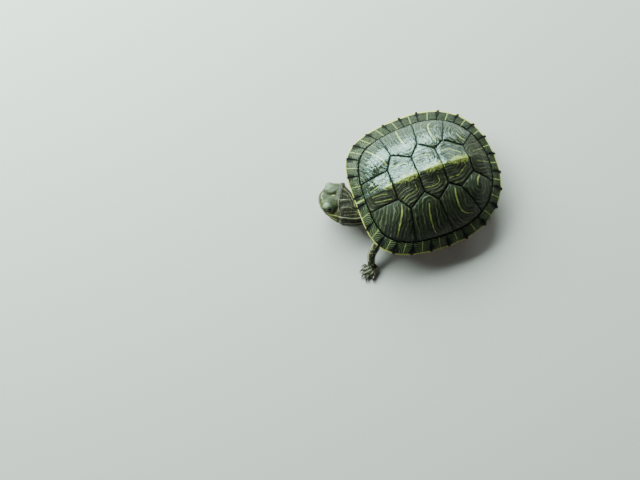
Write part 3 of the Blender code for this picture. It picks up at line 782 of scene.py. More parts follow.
bridge_horn = bridge_finish()
for name, side in (("bridge_left", 1), ("bridge_right", -1)):
    low, high = (1000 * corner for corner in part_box(name))
    bpy.ops.object.select_all(action="DESELECT")
    bpy.ops.mesh.primitive_grid_add(x_subdivisions=40, y_subdivisions=16, size=2)
    strut = bpy.context.object
    strut.name = f"{name}_horn"
    u, v, _ = places(strut).T
    t = (v + 1) / 2
    y = (low.y + high.y) / 2 + u * ((high.y - low.y) / 2 + 0.5 - 0.9 * np.sin(np.pi * t) ** 2)
    x = 12.6 + 4.5 * t ** 0.62 - 0.35 * np.abs(u) ** 3 * t - 0.45 * np.sin(np.pi * t)
    z = 0.50 + 4.45 * t ** 1.35
    lay(strut, np.stack([side * x, y, z], axis=1))
    if strut.data.polygons[0].normal.z > 0:
        pick(strut)
        bpy.ops.object.mode_set(mode="EDIT")
        bpy.ops.mesh.select_all(action="SELECT")
        bpy.ops.mesh.flip_normals()
        bpy.ops.object.mode_set(mode="OBJECT")
    thicken(strut, BRIDGE_THICK)
    outward_normals(strut)
    settle(strut, bridge_horn, "under_scutes", name)


# ---- The skin ----
# One soft scaly skin covers head, neck, trunk, legs and tail. It is built from tubes laid along
# the limbs and the head, fused, and then opened for the eyes.

SNOUT = Vector((-5.8, -29.3, 5.1))
HEAD_YAW, HEAD_PITCH, HEAD_ROLL = (math.radians(a) for a in (22, 3, 11))
HEAD_HALF_WIDTHS = ((0.0, 0.7), (0.35, 1.5), (1.0, 2.4), (2.0, 3.5), (3.1, 4.2), (4.2, 4.45), (6.4, 4.5))
HEAD_TOPS = ((0.0, 0.5), (0.35, 1.1), (1.0, 1.8), (2.0, 2.5), (3.5, 3.2), (5.0, 3.4), (6.4, 3.4))
HEAD_BOTTOMS = ((0.0, 1.1), (0.35, 1.6), (1.0, 2.0), (2.0, 2.3), (3.5, 2.7), (5.0, 3.0), (6.4, 3.2))
JAW_SPREAD = ((0.0, 0.0), (0.35, 0.2), (1.0, 0.5), (2.0, 0.6), (3.1, 0.5), (6.4, 0.4))
FOLD_SPREAD = ((0.0, 0.0), (1.0, 0.1), (2.0, 0.3), (3.1, 0.6), (4.2, 1.4), (5.3, 2.1), (6.4, 2.5))
HEAD_END = 7.2
NECK_STATIONS = (
    ((-1.95, -23.55, 5.3), 5.85, 3.4, 22), ((-1.25, -23.1, 5.3), 5.75, 3.5, 22),
    ((-0.3, -22.4, 5.2), 5.2, 3.3, 23), ((0.9, -21.4, 4.95), 4.6, 2.9, 24),
    ((1.9, -20.1, 4.75), 4.0, 2.3, 18), ((2.0, -18.0, 4.65), 3.9, 2.15, 8),
    ((1.8, -14.0, 4.5), 3.9, 2.1, 0),
)
TRUNK_HALF_WIDTHS = ((-16.2, 8.0), (-8.0, 11.6), (0.0, 12.6), (7.0, 11.6), (15.6, 7.6))
FORELEG_LEFT = (
    (7.0, -11.6, 4.3, 1.9, 1.0), (10.6, -15.9, 4.2, 1.7, 1.0), (12.0, -18.3, 4.0, 1.35, 1.0),
    (13.1, -19.7, 3.6, 1.25, 1.0), (14.4, -20.9, 2.8, 1.15, 1.0), (15.6, -21.4, 2.1, 1.1, 0.9),
    (17.8, -21.95, 1.1, 1.85, 0.62),
)
FORELEG_RIGHT = (
    (-7.0, -11.6, 4.3, 1.9, 1.0), (-11.6, -15.3, 4.0, 1.7, 1.0), (-13.9, -14.2, 3.1, 1.35, 1.0),
    (-14.9, -12.3, 2.1, 1.15, 0.9), (-15.6, -11.1, 1.05, 1.6, 0.62),
)
HIND_LEG = (
    (6.0, 11.6, 4.4, 2.1, 1.0), (10.0, 9.6, 4.4, 1.9, 1.0), (11.4, 11.2, 3.4, 1.5, 1.0),
    (11.5, 12.6, 2.2, 1.25, 0.9), (12.6, 12.7, 1.05, 1.75, 0.6),
)
TAIL = (
    (0.0, 12.6, 4.2, 1.7, 1.0), (-0.8, 16.2, 3.7, 1.3, 1.0), (-3.2, 17.4, 3.1, 1.0, 1.0),
    (-6.0, 17.0, 2.5, 0.7, 1.0), (-8.6, 15.9, 2.0, 0.46, 1.0), (-10.4, 14.6, 1.7, 0.26, 1.0),
)
LIMBS = {
    "foreleg_left": (
        FORELEG_LEFT,
        ((15.9, -23.6), (16.8, -24.5), (18.1, -24.7), (19.5, -24.2), (20.3, -22.5)),
        ((16.0, -24.8), (17.4, -25.8), (19.3, -25.9), (21.0, -25.1), (21.6, -22.9)),
    ),
    "foreleg_right": (
        FORELEG_RIGHT,
        ((-16.0, -12.9), (-17.0, -12.0), (-17.4, -10.9), (-17.3, -9.8), (-16.4, -9.3)),
        ((-16.4, -13.8), (-17.9, -12.5), (-18.4, -10.8), (-18.2, -9.3), (-16.9, -8.5)),
    ),
}
for side, turned in (("left", 1), ("right", -1)):
    LIMBS[f"hind_leg_{side}"] = (
        tuple((turned * x, *rest) for x, *rest in HIND_LEG),
        tuple((turned * x, y) for x, y in ((14.5, 11.0), (15.3, 11.9), (15.1, 13.0), (14.3, 13.9))),
        tuple((turned * x, y) for x, y in ((15.3, 10.3), (16.3, 11.7), (16.0, 13.3), (15.0, 14.5))),
    )
TOE_Z = 0.62
SNUG = 0.985
SLACK = 0.07
SKIN_CELL = 0.14
LIMB_CAP = 0.12
HEAD_FROM_Y = -19

to_head = Matrix.Translation(SNOUT) @ Matrix.Rotation(-HEAD_YAW, 4, "Z")
to_head = to_head @ Matrix.Rotation(HEAD_PITCH, 4, "X") @ Matrix.Rotation(-HEAD_ROLL, 4, "Y")


def from_head(left, back, up):
    """Places given from the snout tip along the head, in the turtle's own frame."""
    turned = np.array(to_head)
    return np.stack([left, back, up], axis=-1) @ turned[:3, :3].T + turned[:3, 3]


def squared(value, power):
    return np.sign(value) * np.abs(value) ** power


def lay_section_tube(name, rings, place, sides=40):
    """A tube whose round and length are handed to place(), which gives each point."""
    piece = tube(name, sides, rings)
    unit = places(piece)
    lay(piece, place(np.arctan2(unit[:, 1], unit[:, 0]), (unit[:, 2] + 1) / 2))
    return piece


def head_section(turn, along):
    back = 0.06 + HEAD_END * along ** 1.35
    left = squared(np.cos(turn), 0.85)
    up = np.sin(turn)
    low = np.clip((0.5 - up) / 0.8, 0, 1)
    width = smooth_through(HEAD_HALF_WIDTHS, back) + low * smooth_through(JAW_SPREAD, back)
    across = left * width + np.maximum(0.0, left) * low * smooth_through(FOLD_SPREAD, back)
    height = np.where(up > 0, smooth_through(HEAD_TOPS, back), smooth_through(HEAD_BOTTOMS, back))
    tip = 1 - 0.02 * (1 - along)
    return from_head(across * tip * SNUG, back, squared(up, 0.85) * height * tip * SNUG)


def neck_section(turn, along):
    at = along * (len(NECK_STATIONS) - 1)
    places_along, *sizes = zip(*NECK_STATIONS)
    centre = np.stack([through(column, at) for column in zip(*places_along)], 1)
    half, tall, yaw = (through(column, at) for column in sizes)
    across = np.cos(turn) * half * SNUG
    yaw = np.radians(yaw)
    centre[:, 0] += across * np.cos(yaw)
    centre[:, 1] -= across * np.sin(yaw)
    centre[:, 2] += np.sin(turn) * tall * SNUG
    return centre


def trunk_section(turn, along):
    y = -15.5 + 29.6 * along
    half = smooth_through(TRUNK_HALF_WIDTHS, y) - 0.3
    corner = np.abs(y) - 17.4 + np.abs(half)
    half = half - np.maximum(0.0, corner) * 0.9
    floor = 1.75 + plastron_rise(y)
    up = np.sin(turn)
    x = squared(np.cos(turn), 0.7) * half
    z = 3.6 + squared(up, 0.7) * np.where(up > 0, 5.4, 3.6 - floor)
    angle = np.arctan2(x, -y)
    rim = rim_height(angle) - 0.3
    roof = rim + 0.5 * (dome_height(x, y) - rim - 2.6) - 0.6
    return np.stack([x, y, np.minimum(z, roof)], axis=1)


def limb_section(balls, thin=0.97):
    """A round limb along (x, y, z, radius, flatness) balls, with rounded ends."""
    columns = np.array(balls, float).T
    last = len(balls) - 1

    def place(turn, along):
        ends = np.sin(ramp(along, 0, LIMB_CAP) * math.pi / 2)
        ends = ends * np.sin(ramp(along, 1, -LIMB_CAP) * math.pi / 2)
        reach = ramp(along, LIMB_CAP, 1 - 2 * LIMB_CAP) * last
        at = [through(column, reach) for column in columns]
        before, after = (
            np.stack([through(column, np.clip(reach + step, 0, last)) for column in columns[:3]], 1)
            for step in (-0.05, 0.05)
        )
        way = after - before
        way = way / np.linalg.norm(way, axis=1)[:, None]
        side = np.stack([-way[:, 1], way[:, 0], np.zeros(len(way))], 1)
        side = side / np.maximum(np.linalg.norm(side, axis=1)[:, None], 1e-6)
        over = np.cross(way, side)
        over = over * np.sign(over[:, 2])[:, None]
        radius = at[3] * thin - SLACK / 2
        poke = np.where(along < LIMB_CAP, along / LIMB_CAP - 1, 0)
        poke = poke + np.where(along > 1 - LIMB_CAP, (along - (1 - LIMB_CAP)) / LIMB_CAP, 0)
        poke = np.sin(poke * math.pi / 2)
        centre = np.stack(at[:3], 1) + way * (poke * radius * at[4])[:, None] * 0.9
        ring = side * (np.cos(turn) * radius * ends)[:, None]
        return centre + ring + over * (np.sin(turn) * radius * at[4] * ends)[:, None]

    return place


def digits_of(limb):
    """For each digit: the row of balls from the palm to the toe tip."""
    balls, toes, _ = LIMBS[limb]
    palm = np.array(balls[-1][:2])
    rows = []
    for toe in toes:
        start, knuckle = (palm + (np.array(toe) - palm) * part for part in (0.35, 0.78))
        rows.append((
            (*start, TOE_Z + 0.15, 0.60, 0.9), (*knuckle, TOE_Z + 0.03, 0.54, 0.9),
            (*toe, TOE_Z - 0.05, 0.48, 0.9),
        ))
    return rows


def webs_of(limb):
    """The skin between the digits, as low flat tubes from the palm."""
    balls, toes, _ = LIMBS[limb]
    palm = np.array(balls[-1][:2])
    rows = []
    for one, other in zip(toes, toes[1:]):
        middle = (np.array(one) + np.array(other)) / 2 - palm
        rows.append((
            (*(palm + middle * 0.3), 0.50, 0.75, 0.5), (*(palm + middle * 0.90), 0.38, 0.50, 0.5),
        ))
    return rows


def round_lump(place, radius, flat):
    bpy.ops.object.select_all(action="DESELECT")
    bpy.ops.mesh.primitive_uv_sphere_add(
        segments=40, ring_count=24, radius=radius, location=place, scale=(1, 1, flat)
    )
    return bpy.context.object


flesh = [
    lay_section_tube("skin", 44, head_section, 56),
    lay_section_tube("neck_flesh", 40, neck_section, 48),
    lay_section_tube("trunk_flesh", 24, trunk_section, 36),
    lay_section_tube("tail_flesh", 30, limb_section(TAIL), 20),
]
for limb, (balls, _, _) in LIMBS.items():
    *upper, (x, y, z, radius, flat) = balls
    ankle = (*upper, (x, y, z, radius * 0.55, flat))
    flesh.append(lay_section_tube(f"{limb}_flesh", 40, limb_section(ankle, 1.03), 24))
    flesh.append(round_lump((x, y, z * 0.80), radius * 0.97, flat * 0.76))
    for row in digits_of(limb) + webs_of(limb):
        flesh.append(lay_section_tube(f"{limb}_digit", 14, limb_section(row, 1.0), 14))

EYE_RADIUS = 1.2
LID_RADIUS = 1.42
LID_INSIDE = LID_RADIUS - 0.04
eye_centres = {
    name: sum((1000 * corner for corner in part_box(name)), Vector()) / 2
    for name in ("eye_left", "eye_right")
}
for centre in eye_centres.values():
    flesh.append(round_lump(centre, LID_RADIUS, 1.0))

for piece in flesh:
    outward_normals(piece)
pick(*flesh)
skin = flesh[0]
bpy.ops.object.transform_apply(location=True, rotation=True, scale=True)
bpy.ops.object.join()
modify(skin, "REMESH", mode="VOXEL", voxel_size=SKIN_CELL)


def group_of(obj, name, chosen):
    """A vertex group of the chosen points."""
    group = obj.vertex_groups.new(name=name)
    group.add([int(i) for i in np.nonzero(chosen)[0]], 1.0, "REPLACE")
    return group.name


points = places(skin)
facial = group_of(skin, "facial", (points[:, 1] < -19.5) & (points[:, 0] < 8.5))
for times, group in ((5, ""), (10, facial)):
    modify(skin, "SMOOTH", factor=0.5, iterations=times, vertex_group=group)
skin.vertex_groups.clear()
modify(skin, "TRIANGULATE")


def normals_of(obj):
    normals = np.empty(len(obj.data.vertices) * 3, np.float32)
    obj.data.vertex_normals.foreach_get("vector", normals)
    return normals.reshape(-1, 3)


def in_head(points):
    """The same places as (left, back, up) from the snout tip."""
    back = np.array(to_head.inverted())
    return points @ back[:3, :3].T + back[:3, 3]


# Hidden trunk skin is thinned, so that the fine cells go to what shows.
points = places(skin)
inside = (np.abs(points[:, 0]) < 9.0) & (np.abs(points[:, 1]) < 12.5)
inside |= (points[:, 2] > 5.0) & (np.hypot(points[:, 0], points[:, 1] * 0.93) < 14.0)
modify(skin, "DECIMATE", ratio=0.45, vertex_group=group_of(skin, "hidden", inside))
skin.vertex_groups.clear()


def drape(path, cloud, rounds=6):
    """A path's points moved onto the nearest points of the skin, and evened out."""
    near = np.array([cloud[np.argmin(np.sum((cloud - p) ** 2, axis=1))] for p in path])
    for _ in range(rounds):
        near[1:-1] = (near[:-2] + 2 * near[1:-1] + near[2:]) / 4
    return near


def both_sides(path):
    return [path, [(-left, back, up) for left, back, up in path]]


def off_face(points, paths):
    """Distance to the nearest of some paths given in head places and laid on the skin."""
    near = np.full(len(points), FAR)
    cloud = points[points[:, 1] < HEAD_FROM_Y]
    for path in paths:
        draped = drape(fine_path(from_head(*np.array(path, float).T)), cloud)
        close = np.all((points > draped.min(0) - 1.5) & (points < draped.max(0) + 1.5), axis=1)
        near[close] = np.minimum(near[close], off_path(points[close], draped))
    return near


HALF_MOUTH = [
    (4.5, 4.1, -1.25), (3.9, 2.8, -0.95), (2.6, 1.3, -0.75), (1.1, 0.4, -0.80), (0.0, 0.05, -0.95),
]
MOUTH = [HALF_MOUTH + [(-left, back, up) for left, back, up in reversed(HALF_MOUTH[:-1])]]
NOSTRILS = both_sides([(0.42, 0.05, 0.60), (0.52, 0.12, 0.66)])
COLLAR = 6.3

points, normals = places(skin), normals_of(skin)
left, back, up = in_head(points).T
head_zone = (points[:, 1] < HEAD_FROM_Y) & (points[:, 0] < 9)
# The line of the mouth with its raised lip, and the nostrils.
lip, pit = off_face(points, MOUTH), off_face(points, NOSTRILS)
shift = -0.15 * hump(lip, 0.14) + 0.04 * hump(lip - 0.34, 0.18)
shift -= 0.12 * hump(pit, 0.15) - 0.03 * hump(pit - 0.28, 0.10)
# The collar, where the smooth head skin ends, and the wrinkles of the neck.
step = ramp(back - COLLAR, 0.05, 0.12) * ramp(back, 8.0, -1.5)
shift += (0.13 * step - 0.10 * hump(back - COLLAR + 0.18, 0.16)) * (up > -2.4)
wrinkle = np.cos(np.arctan2(up, left) * 13 + 0.7 * np.sin(back * 1.3)) * ramp(back, 6.5, 0.8)
shift += 0.055 * wrinkle * ramp(points[:, 1], -17.2, -1.5)
# The shallow ear drums.
for drum in ((5.9, 5.2, -1.2), (-4.4, 5.2, -0.4)):
    ear = np.linalg.norm(np.stack([left, back, up], 1) - drum, axis=1)
    shift -= 0.10 * hump(ear, 0.75) - 0.05 * hump(ear - 1.05, 0.25)
# The bulges over the eyes stand out where the face round them sinks.
eye_away = [np.linalg.norm(points - np.array(centre), axis=1) for centre in eye_centres.values()]
bulge = np.clip(1.45 - ((np.abs(left - 0.15) - 2.4) / 2.1) ** 2 - ((back - 4.1) / 2.15) ** 2, 0, 1)
for away in eye_away:
    bulge = np.maximum(bulge, ramp(away, 2.7, -1))
bulge = bulge * bulge * (3 - 2 * bulge)
over_eyes = ramp(back, 0.9, 1) * ramp(back, 6.2, -0.8) * ramp(up, 0.4, 0.9)
shift -= 0.55 * (1 - bulge) * over_eyes
pinch = hump(back - 1.45, 0.55) * ramp(np.abs(left), 0.9, 0.6)
shift -= 0.30 * pinch * (1 - bulge) * ramp(up, -0.5, 0.8) * (left < 0)
# A fine crease round each lid.
for away in eye_away:
    shift -= 0.11 * hump(away - 1.62, 0.13) * (back < 6)
shift = np.where(back < 0.6, np.minimum(shift, 0.0), shift)
# Faint folds on the legs; nothing goes below the floor or into an eye.
ripple = 0.03 * np.sin(points[:, 0] * 7.0) * np.sin(points[:, 1] * 7.0 + points[:, 2] * 5.0)
limb_zone = ~head_zone & (points[:, 2] < 5.0) & (points[:, 2] > 0.9)
laid = points + normals * (shift * head_zone + ripple * limb_zone)[:, None]
laid[:, 2] = np.maximum(laid[:, 2], 0.0)
for centre in eye_centres.values():
    away = laid - np.array(centre)
    far = np.linalg.norm(away, axis=1)[:, None]
    laid = np.where(far < LID_INSIDE, np.array(centre) + away / far * LID_INSIDE, laid)
lay(skin, laid)

GAZE = {"eye_left": (0.95, -0.16, 0.24), "eye_right": (-0.95, -0.16, 0.24)}
OPENING = (0.92, 0.56)


def eye_axes(name):
    """The way an eye looks, its length and its height, in the head's own frame."""
    gaze = Vector(GAZE[name]).normalized()
    upright = Vector((0.0, 1.0, 0.0)).cross(gaze).normalized()
    return [np.array(axis) for axis in (gaze, gaze.cross(upright).normalized(), upright)]


for name, centre in eye_centres.items():
    gaze, level, upright = eye_axes(name)
    bpy.ops.object.select_all(action="DESELECT")
    bpy.ops.mesh.primitive_uv_sphere_add(segments=48, ring_count=24, radius=1.0)
    almond = bpy.context.object
    unit = places(almond)
    local_points = (
        gaze * (unit[:, 2:3] * 1.5 + 1.35)
        + level * unit[:, 0:1] * OPENING[0]
        + upright * unit[:, 1:2] * OPENING[1]
    )
    turned = np.array(to_head.to_3x3())
    lay(almond, local_points @ turned.T + np.array(centre))
    outward_normals(almond)
    modify(skin, "BOOLEAN", operation="DIFFERENCE", solver="EXACT", object=almond)
    bpy.data.objects.remove(almond)


HEAD_STRIPES = [
    (0.09, [(1.06, 1.7, 1.9), (0.4, 1.2, 1.75), (-0.35, 1.15, 1.7), (-1.06, 1.6, 1.77)]),
    (0.09, [(3.0, 1.7, 0.65), (1.85, 0.9, 1.0), (0.4, 0.3, 1.0), (-0.8, 0.45, 1.05),
        (-2.2, 1.2, 0.9)]),
    (0.055, [(-4.3, 6.3, 0.4), (-3.5, 6.3, 2.3), (-1.6, 6.3, 3.3), (0.4, 6.3, 3.5), (2.2, 6.3, 3.1),
        (3.8, 6.3, 2.1), (4.3, 6.1, 1.2)]),
    (0.15, [(0.10, 4.55, 2.6), (0.12, 4.75, 2.6), (0.14, 4.95, 2.6)]),
]
for width, one_side in (
    (0.08, [(1.3, 1.5, 1.6), (2.2, 1.9, 1.2), (3.0, 2.2, 0.8), (4.0, 2.8, 0.6), (4.9, 3.8, 0.5),
        (5.5, 6.3, 0.7)]),
    (0.10, [(1.2, 0.5, -0.15), (2.7, 1.4, -0.2), (4.0, 2.5, -0.2), (5.0, 3.7, 0.2),
        (5.8, 4.6, -0.2), (6.6, 6.6, -0.25)]),
    (0.10, [(0.9, 0.5, -1.35), (2.4, 1.5, -1.4), (4.2, 2.6, -1.0), (5.4, 3.6, -0.7),
        (6.1, 4.6, -0.9), (6.7, 5.8, -1.0)]),
    (0.12, [(0.5, 0.8, -1.8), (1.9, 1.9, -2.4), (3.0, 3.6, -2.7), (3.6, 6.2, -3.0)]),
    (0.12, [(0.0, 2.0, -2.3), (0.9, 4.0, -2.8), (1.1, 7.5, -3.3)]),
):
    HEAD_STRIPES += [(width, path) for path in both_sides(one_side)]
NECK_STRIPES = [
    (0.16, [(1.5, -25.6, 7.1), (2.5, -24.0, 7.8), (3.3, -22.3, 7.3), (3.7, -20.8, 6.8),
        (3.9, -19.0, 6.5)]),
    (0.12, [(2.8, -25.8, 6.3), (4.1, -23.9, 6.5), (4.8, -22.1, 6.2), (5.1, -20.5, 5.9),
        (5.4, -18.8, 5.4)]),
    (0.05, [(1.1, -25.2, 7.6), (2.1, -23.2, 7.9), (2.6, -20.7, 7.0)]),
    (0.06, [(0.3, -24.9, 7.9), (1.3, -22.8, 8.1), (1.9, -20.5, 7.1)]),
    (0.07, [(-2.5, -23.7, 9.0), (-2.1, -22.7, 8.7), (-1.9, -21.6, 8.2)]),
    (0.06, [(-0.2, -23.7, 8.7), (0.1, -22.4, 8.4), (0.5, -21.6, 8.0), (1.3, -20.9, 7.4)]),
    (0.12, [(-5.7, -21.9, 8.1), (-4.8, -21.2, 7.3), (-3.1, -20.5, 7.1), (-1.3, -20.3, 7.3),
        (0.8, -20.4, 7.3)]),
    (0.06, [(-4.2, -22.9, 8.8), (-3.7, -21.8, 8.1), (-2.4, -21.3, 7.9), (-0.6, -21.0, 7.7)]),
    (0.11, [(2.2, -27.0, 4.8), (2.8, -25.8, 5.0), (3.8, -24.6, 5.0), (4.7, -22.5, 5.0),
        (5.3, -20.2, 5.0), (5.6, -18.6, 4.8)]),
    (0.12, [(2.2, -26.6, 3.0), (3.6, -24.4, 2.9), (4.6, -22.0, 2.9), (5.2, -18.6, 3.4)]),
    (0.12, [(-6.9, -22.2, 4.8), (-4.4, -21.0, 4.8), (-1.9, -19.4, 4.8), (-1.6, -17.8, 4.8)]),
    (0.12, [(-4.2, -23.6, 2.2), (-1.0, -22.6, 1.9), (1.0, -19.0, 2.6)]),
    (0.12, [(-1.4, -24.6, 1.9), (1.0, -23.2, 1.8), (2.6, -19.0, 2.7)]),
]


def limb_stripes(limb):
    """A broad pale stripe down the front of a leg, a thin one down its rear, one on each digit."""
    balls, toes, _ = LIMBS[limb]
    balls, toes = np.array(balls), np.array(toes)
    way = np.gradient(balls[:, :2], axis=0)
    way = way / np.linalg.norm(way, axis=1)[:, None]
    side = np.stack([-way[:, 1], way[:, 0]], 1) * (-1 if balls[-1, 0] > 0 else 1)
    palm, hand = balls[-1, :2], balls[-1, 3]
    rows = []
    for turned, lift, width in ((0.70, 0.70, 0.19), (-0.85, 0.50, 0.07)):
        path = balls[:-1, :3].copy()
        path[:, :2] += turned * side[:-1] * balls[:-1, 3:4]
        path[:, 2] += lift * balls[:-1, 3]
        rows.append((width, path[1:]))
    outer = rows[-1][1][-1]
    across = palm - side[-1] * hand * 0.85
    heel = palm + (toes[-1] - palm) * 0.55 - side[-1] * hand * 0.5
    rows.append((0.10, np.array([outer, (*across, 1.5), (*heel, 1.3), (*toes[-1], 1.0)])))
    reach = toes - palm
    ahead = reach.mean(axis=0) / np.linalg.norm(reach.mean(axis=0))
    apart = reach - (reach @ ahead)[:, None] * ahead
    for i, (toe, beside_it) in enumerate(zip(toes, apart)):
        start = palm + 0.62 * beside_it
        middle = start * 0.45 + toe * 0.55
        width = 0.05 if i == 0 else 0.10
        rows.append((width, np.array([(*start, 2.1), (*middle, 1.4), (*toe, TOE_Z + 0.42)])))
    return rows


points = places(skin)
local = in_head(points)
shown = ~((np.abs(points[:, 0]) < 9.0) & (np.abs(points[:, 1]) < 12.5))
cloud = points[shown]
pale = np.full(len(points), FAR)


def add_stripe(width, path):
    draped = drape(fine_path(path), cloud)
    near = np.all((points > draped.min(0) - 1.5) & (points < draped.max(0) + 1.5), axis=1)
    pale[near] = np.minimum(pale[near], off_path(points[near], draped) - width)


for width, path in HEAD_STRIPES:
    add_stripe(width, from_head(*np.array(path, float).T))
for width, path in NECK_STRIPES:
    add_stripe(width, path)
for limb in LIMBS:
    for width, path in limb_stripes(limb):
        add_stripe(width, path)
tail_middle, tail_radius = np.array(TAIL)[1:, :3], np.array(TAIL)[1:, 3:4]
for turned in (1, -1):
    raised = tail_middle + (0, 0, 1) * tail_radius * 0.6
    add_stripe(0.12, raised + (0, turned * 0.6, 0) * tail_radius)

EAR_PATCHES = [
    [(5.6, 4.5, -1.35), (6.2, 5.3, -1.6), (6.6, 6.1, -1.7)],
    [(-4.4, 4.8, -0.2), (-4.5, 5.5, -0.3), (-4.6, 6.2, -0.4)],
]
mouth, nostril, ear = (off_face(points, paths) for paths in (MOUTH, NOSTRILS, EAR_PATCHES))
left, back, up = local.T
is_head = (points[:, 1] < -20.5) & (points[:, 0] < 9)
crown = ramp(back, COLLAR + 0.02, -0.12) * is_head
cheek = ramp(up, 1.6, -0.9) * is_head
belly_side = ~is_head & (np.hypot(points[:, 0], points[:, 1]) < 14)
beneath = ramp(up, -1.9, -0.9) * is_head + ramp(points[:, 2], 2.4, -0.8) * belly_side
# A pale patch on top of each eye bulge: pale lid skin with a painted highlight.
lid = np.full(len(points), FAR)
for side in (1, -1):
    lid = np.minimum(lid, np.linalg.norm(local - (side * 2.8, 2.9, 2.0), axis=1))
# Painted shade: the skin round each eye opening is darkened as the slit between the lids.
slit = np.full(len(points), FAR)
for name, centre in eye_centres.items():
    gaze, level, upright = eye_axes(name)
    off = local - in_head(np.array(centre))
    ring = np.hypot(off @ level / OPENING[0], off @ upright / OPENING[1])
    slit = np.where(off @ gaze > 0, np.minimum(slit, ring), slit)
note(skin, pale=pale, mouth=mouth, ear=ear, nostril=nostril, crown=crown, cheek=cheek)
# Fewer pale dots on the head; fewer towards the floor as painted shade on the feet.
dotty = np.where(is_head, 0.25, 1.0) * np.clip((points[:, 2] - 1.5) / 0.9, 0.25, 1)
note(skin, beneath=beneath, lid=lid, slit=slit, dotty=dotty)


def skin_finish():
    """Wet skin: olive crown, dark grainy neck, mottled legs, cream stripes, a red ear patch."""
    finish = Finish("turtle_skin", Coat_Weight=0.06, Coat_Roughness=0.25, Specular_IOR_Level=0.28)
    pale, mouth, ear, nostril = finish.noted("pale mouth ear nostril")
    crown, cheek, beneath, lid, slit, dotty = finish.noted("crown cheek beneath lid slit dotty")
    tint = finish.noise(0.6, 3.0)
    patchy = finish.noise(2.4, 2.0)
    speck = finish.noise(0.28, 2.0)
    dome = finish.cells(0.32, feature="DISTANCE_TO_EDGE").swing(0.0, 0.26)
    mottle = dome * speck.swing(0.46, 0.62) * patchy.swing(0.30, 0.60)
    dots = finish.cells(0.60).swing(0.44, 0.26) * finish.noise(1.2, 2.0).swing(0.32, 0.50)
    rough_skin = finish.layer(
        finish.blend(tint, (0.013, 0.013, 0.008), (0.040, 0.038, 0.021)),
        # Pale mottles and dots thin out low down: painted shade on the feet.
        (mottle * (0.15 + dotty * 0.45), (0.125, 0.116, 0.050)),
        (dots * dotty * 0.8, (0.32, 0.30, 0.14)),
        (dome.swing(0.35, 0.0) * 0.6, (0.006, 0.007, 0.004)),
    )
    beads = finish.cells(0.34).swing(0.62, 0.30)
    smooth_skin = finish.layer(
        finish.blend(patchy, (0.025, 0.032, 0.012), (0.069, 0.076, 0.031)),
        (speck.swing(0.46, 0.60) * 0.6, (0.018, 0.026, 0.010)),
        (tint.swing(0.52, 0.72) * 0.6, (0.100, 0.122, 0.058)),
        (cheek * 0.85, finish.blend(speck, (0.035, 0.034, 0.010), (0.125, 0.115, 0.026))),
        # Pale lids with a painted highlight on top.
        (lid.swing(2.0, 0.7) * (0.15 + tint * 0.9), (0.27, 0.35, 0.22)),
        ((1 - beads) * speck.swing(0.30, 0.55) * 0.55, (0.016, 0.024, 0.010)),
    )
    stripe = pale + (tint - 0.5) * 0.16
    patch = ear + (finish.noise(0.9, 2.0) - 0.5) * 0.34
    cream = finish.blend(crown, (0.36, 0.34, 0.21), (0.42, 0.41, 0.13))
    red = finish.blend(tint.swing(0.35, 0.65), (0.20, 0.016, 0.008), (0.36, 0.038, 0.014))
    colour = finish.layer(
        rough_skin,
        (crown, smooth_skin),
        # Painted shade in the eye slits.
        (slit.swing(1.50, 1.22) * 0.9, (0.006, 0.007, 0.004)),
        (beneath * 0.75, (0.26, 0.25, 0.10)),
        (pale.swing(0.20, 0.04) * 0.6, (0.010, 0.013, 0.007)),
        (stripe.swing(0.04, -0.04) * 0.92, cream),
        (patch.swing(0.48, 0.36) * 0.9, (0.010, 0.010, 0.007)),
        (patch.swing(0.34, 0.24), red),
        (mouth.swing(0.13, 0.05) * 0.9, (0.007, 0.007, 0.005)),
        (nostril.swing(0.15, 0.09), (0.003, 0.003, 0.002)),
    )
    finish.feed("Base Color", colour)
    finish.relief(dome * (1 - crown * 0.9) * 0.8 + tint * 0.9 + speck * 0.5, 0.05)
    finish.feed("Roughness", 0.34 + tint * 0.25 + crown * 0.14)
    return finish


skin_nodes = ["head", "neck", "trunk", "tail", *LIMBS]
settle(skin, skin_finish(), "skin", *skin_nodes)


# ---- The eyes ----
# Wet round eyes, a yellow-green iris round a black pupil with a dark bar through it. They sit
# in the openings of the lids, on the centres of their CAD solids.


def eye_finish():
    finish = Finish(
        "wet_eye", Coat_Weight=0.5, Coat_Roughness=0.03, Roughness=0.2, Specular_IOR_Level=0.4
    )
    gaze, level = finish.noted("gaze level")
    fleck = finish.noise(0.25, 2.0)
    iris = finish.blend(fleck, (0.16, 0.20, 0.025), (0.42, 0.42, 0.07))
    bar = abs(level + (fleck - 0.5) * 0.1).swing(0.24, 0.14)
    finish.feed("Base Color", finish.layer(
        iris,
        (bar * 0.9, (0.008, 0.010, 0.005)),
        (gaze.swing(0.56, 0.64), (0.012, 0.012, 0.007)),
        (gaze.swing(0.29, 0.24), (0.002, 0.002, 0.002)),
    ))
    return finish


eye_look = eye_finish()
for name, centre in eye_centres.items():
    bpy.ops.object.select_all(action="DESELECT")
    bpy.ops.mesh.primitive_uv_sphere_add(
        segments=64, ring_count=40, radius=EYE_RADIUS, location=centre
    )
    ball = bpy.context.object
    ball.name = f"{name}_ball"
    bpy.ops.object.transform_apply(location=True, rotation=True, scale=True)
    gaze = to_head.to_3x3() @ Vector(GAZE[name]).normalized()
    rise = to_head.to_3x3() @ Vector((0, 0, 1))
    rise = (rise - gaze * rise.dot(gaze)).normalized()
    off = (places(ball) - np.array(centre)) / EYE_RADIUS
    facing = off @ np.array(gaze)
    note(
        ball,
        gaze=np.where(facing > 0, np.sqrt(np.maximum(0, 1 - facing ** 2)), 1.0),
        level=off @ np.array(rise),
    )
    settle(ball, eye_look, "eyes", name)


# ---- The claws ----
# Small curved claws of dark reddish horn, set into the tips of the digits, five on each
# forefoot and four on each hind foot. Each foot's claws are one piece.


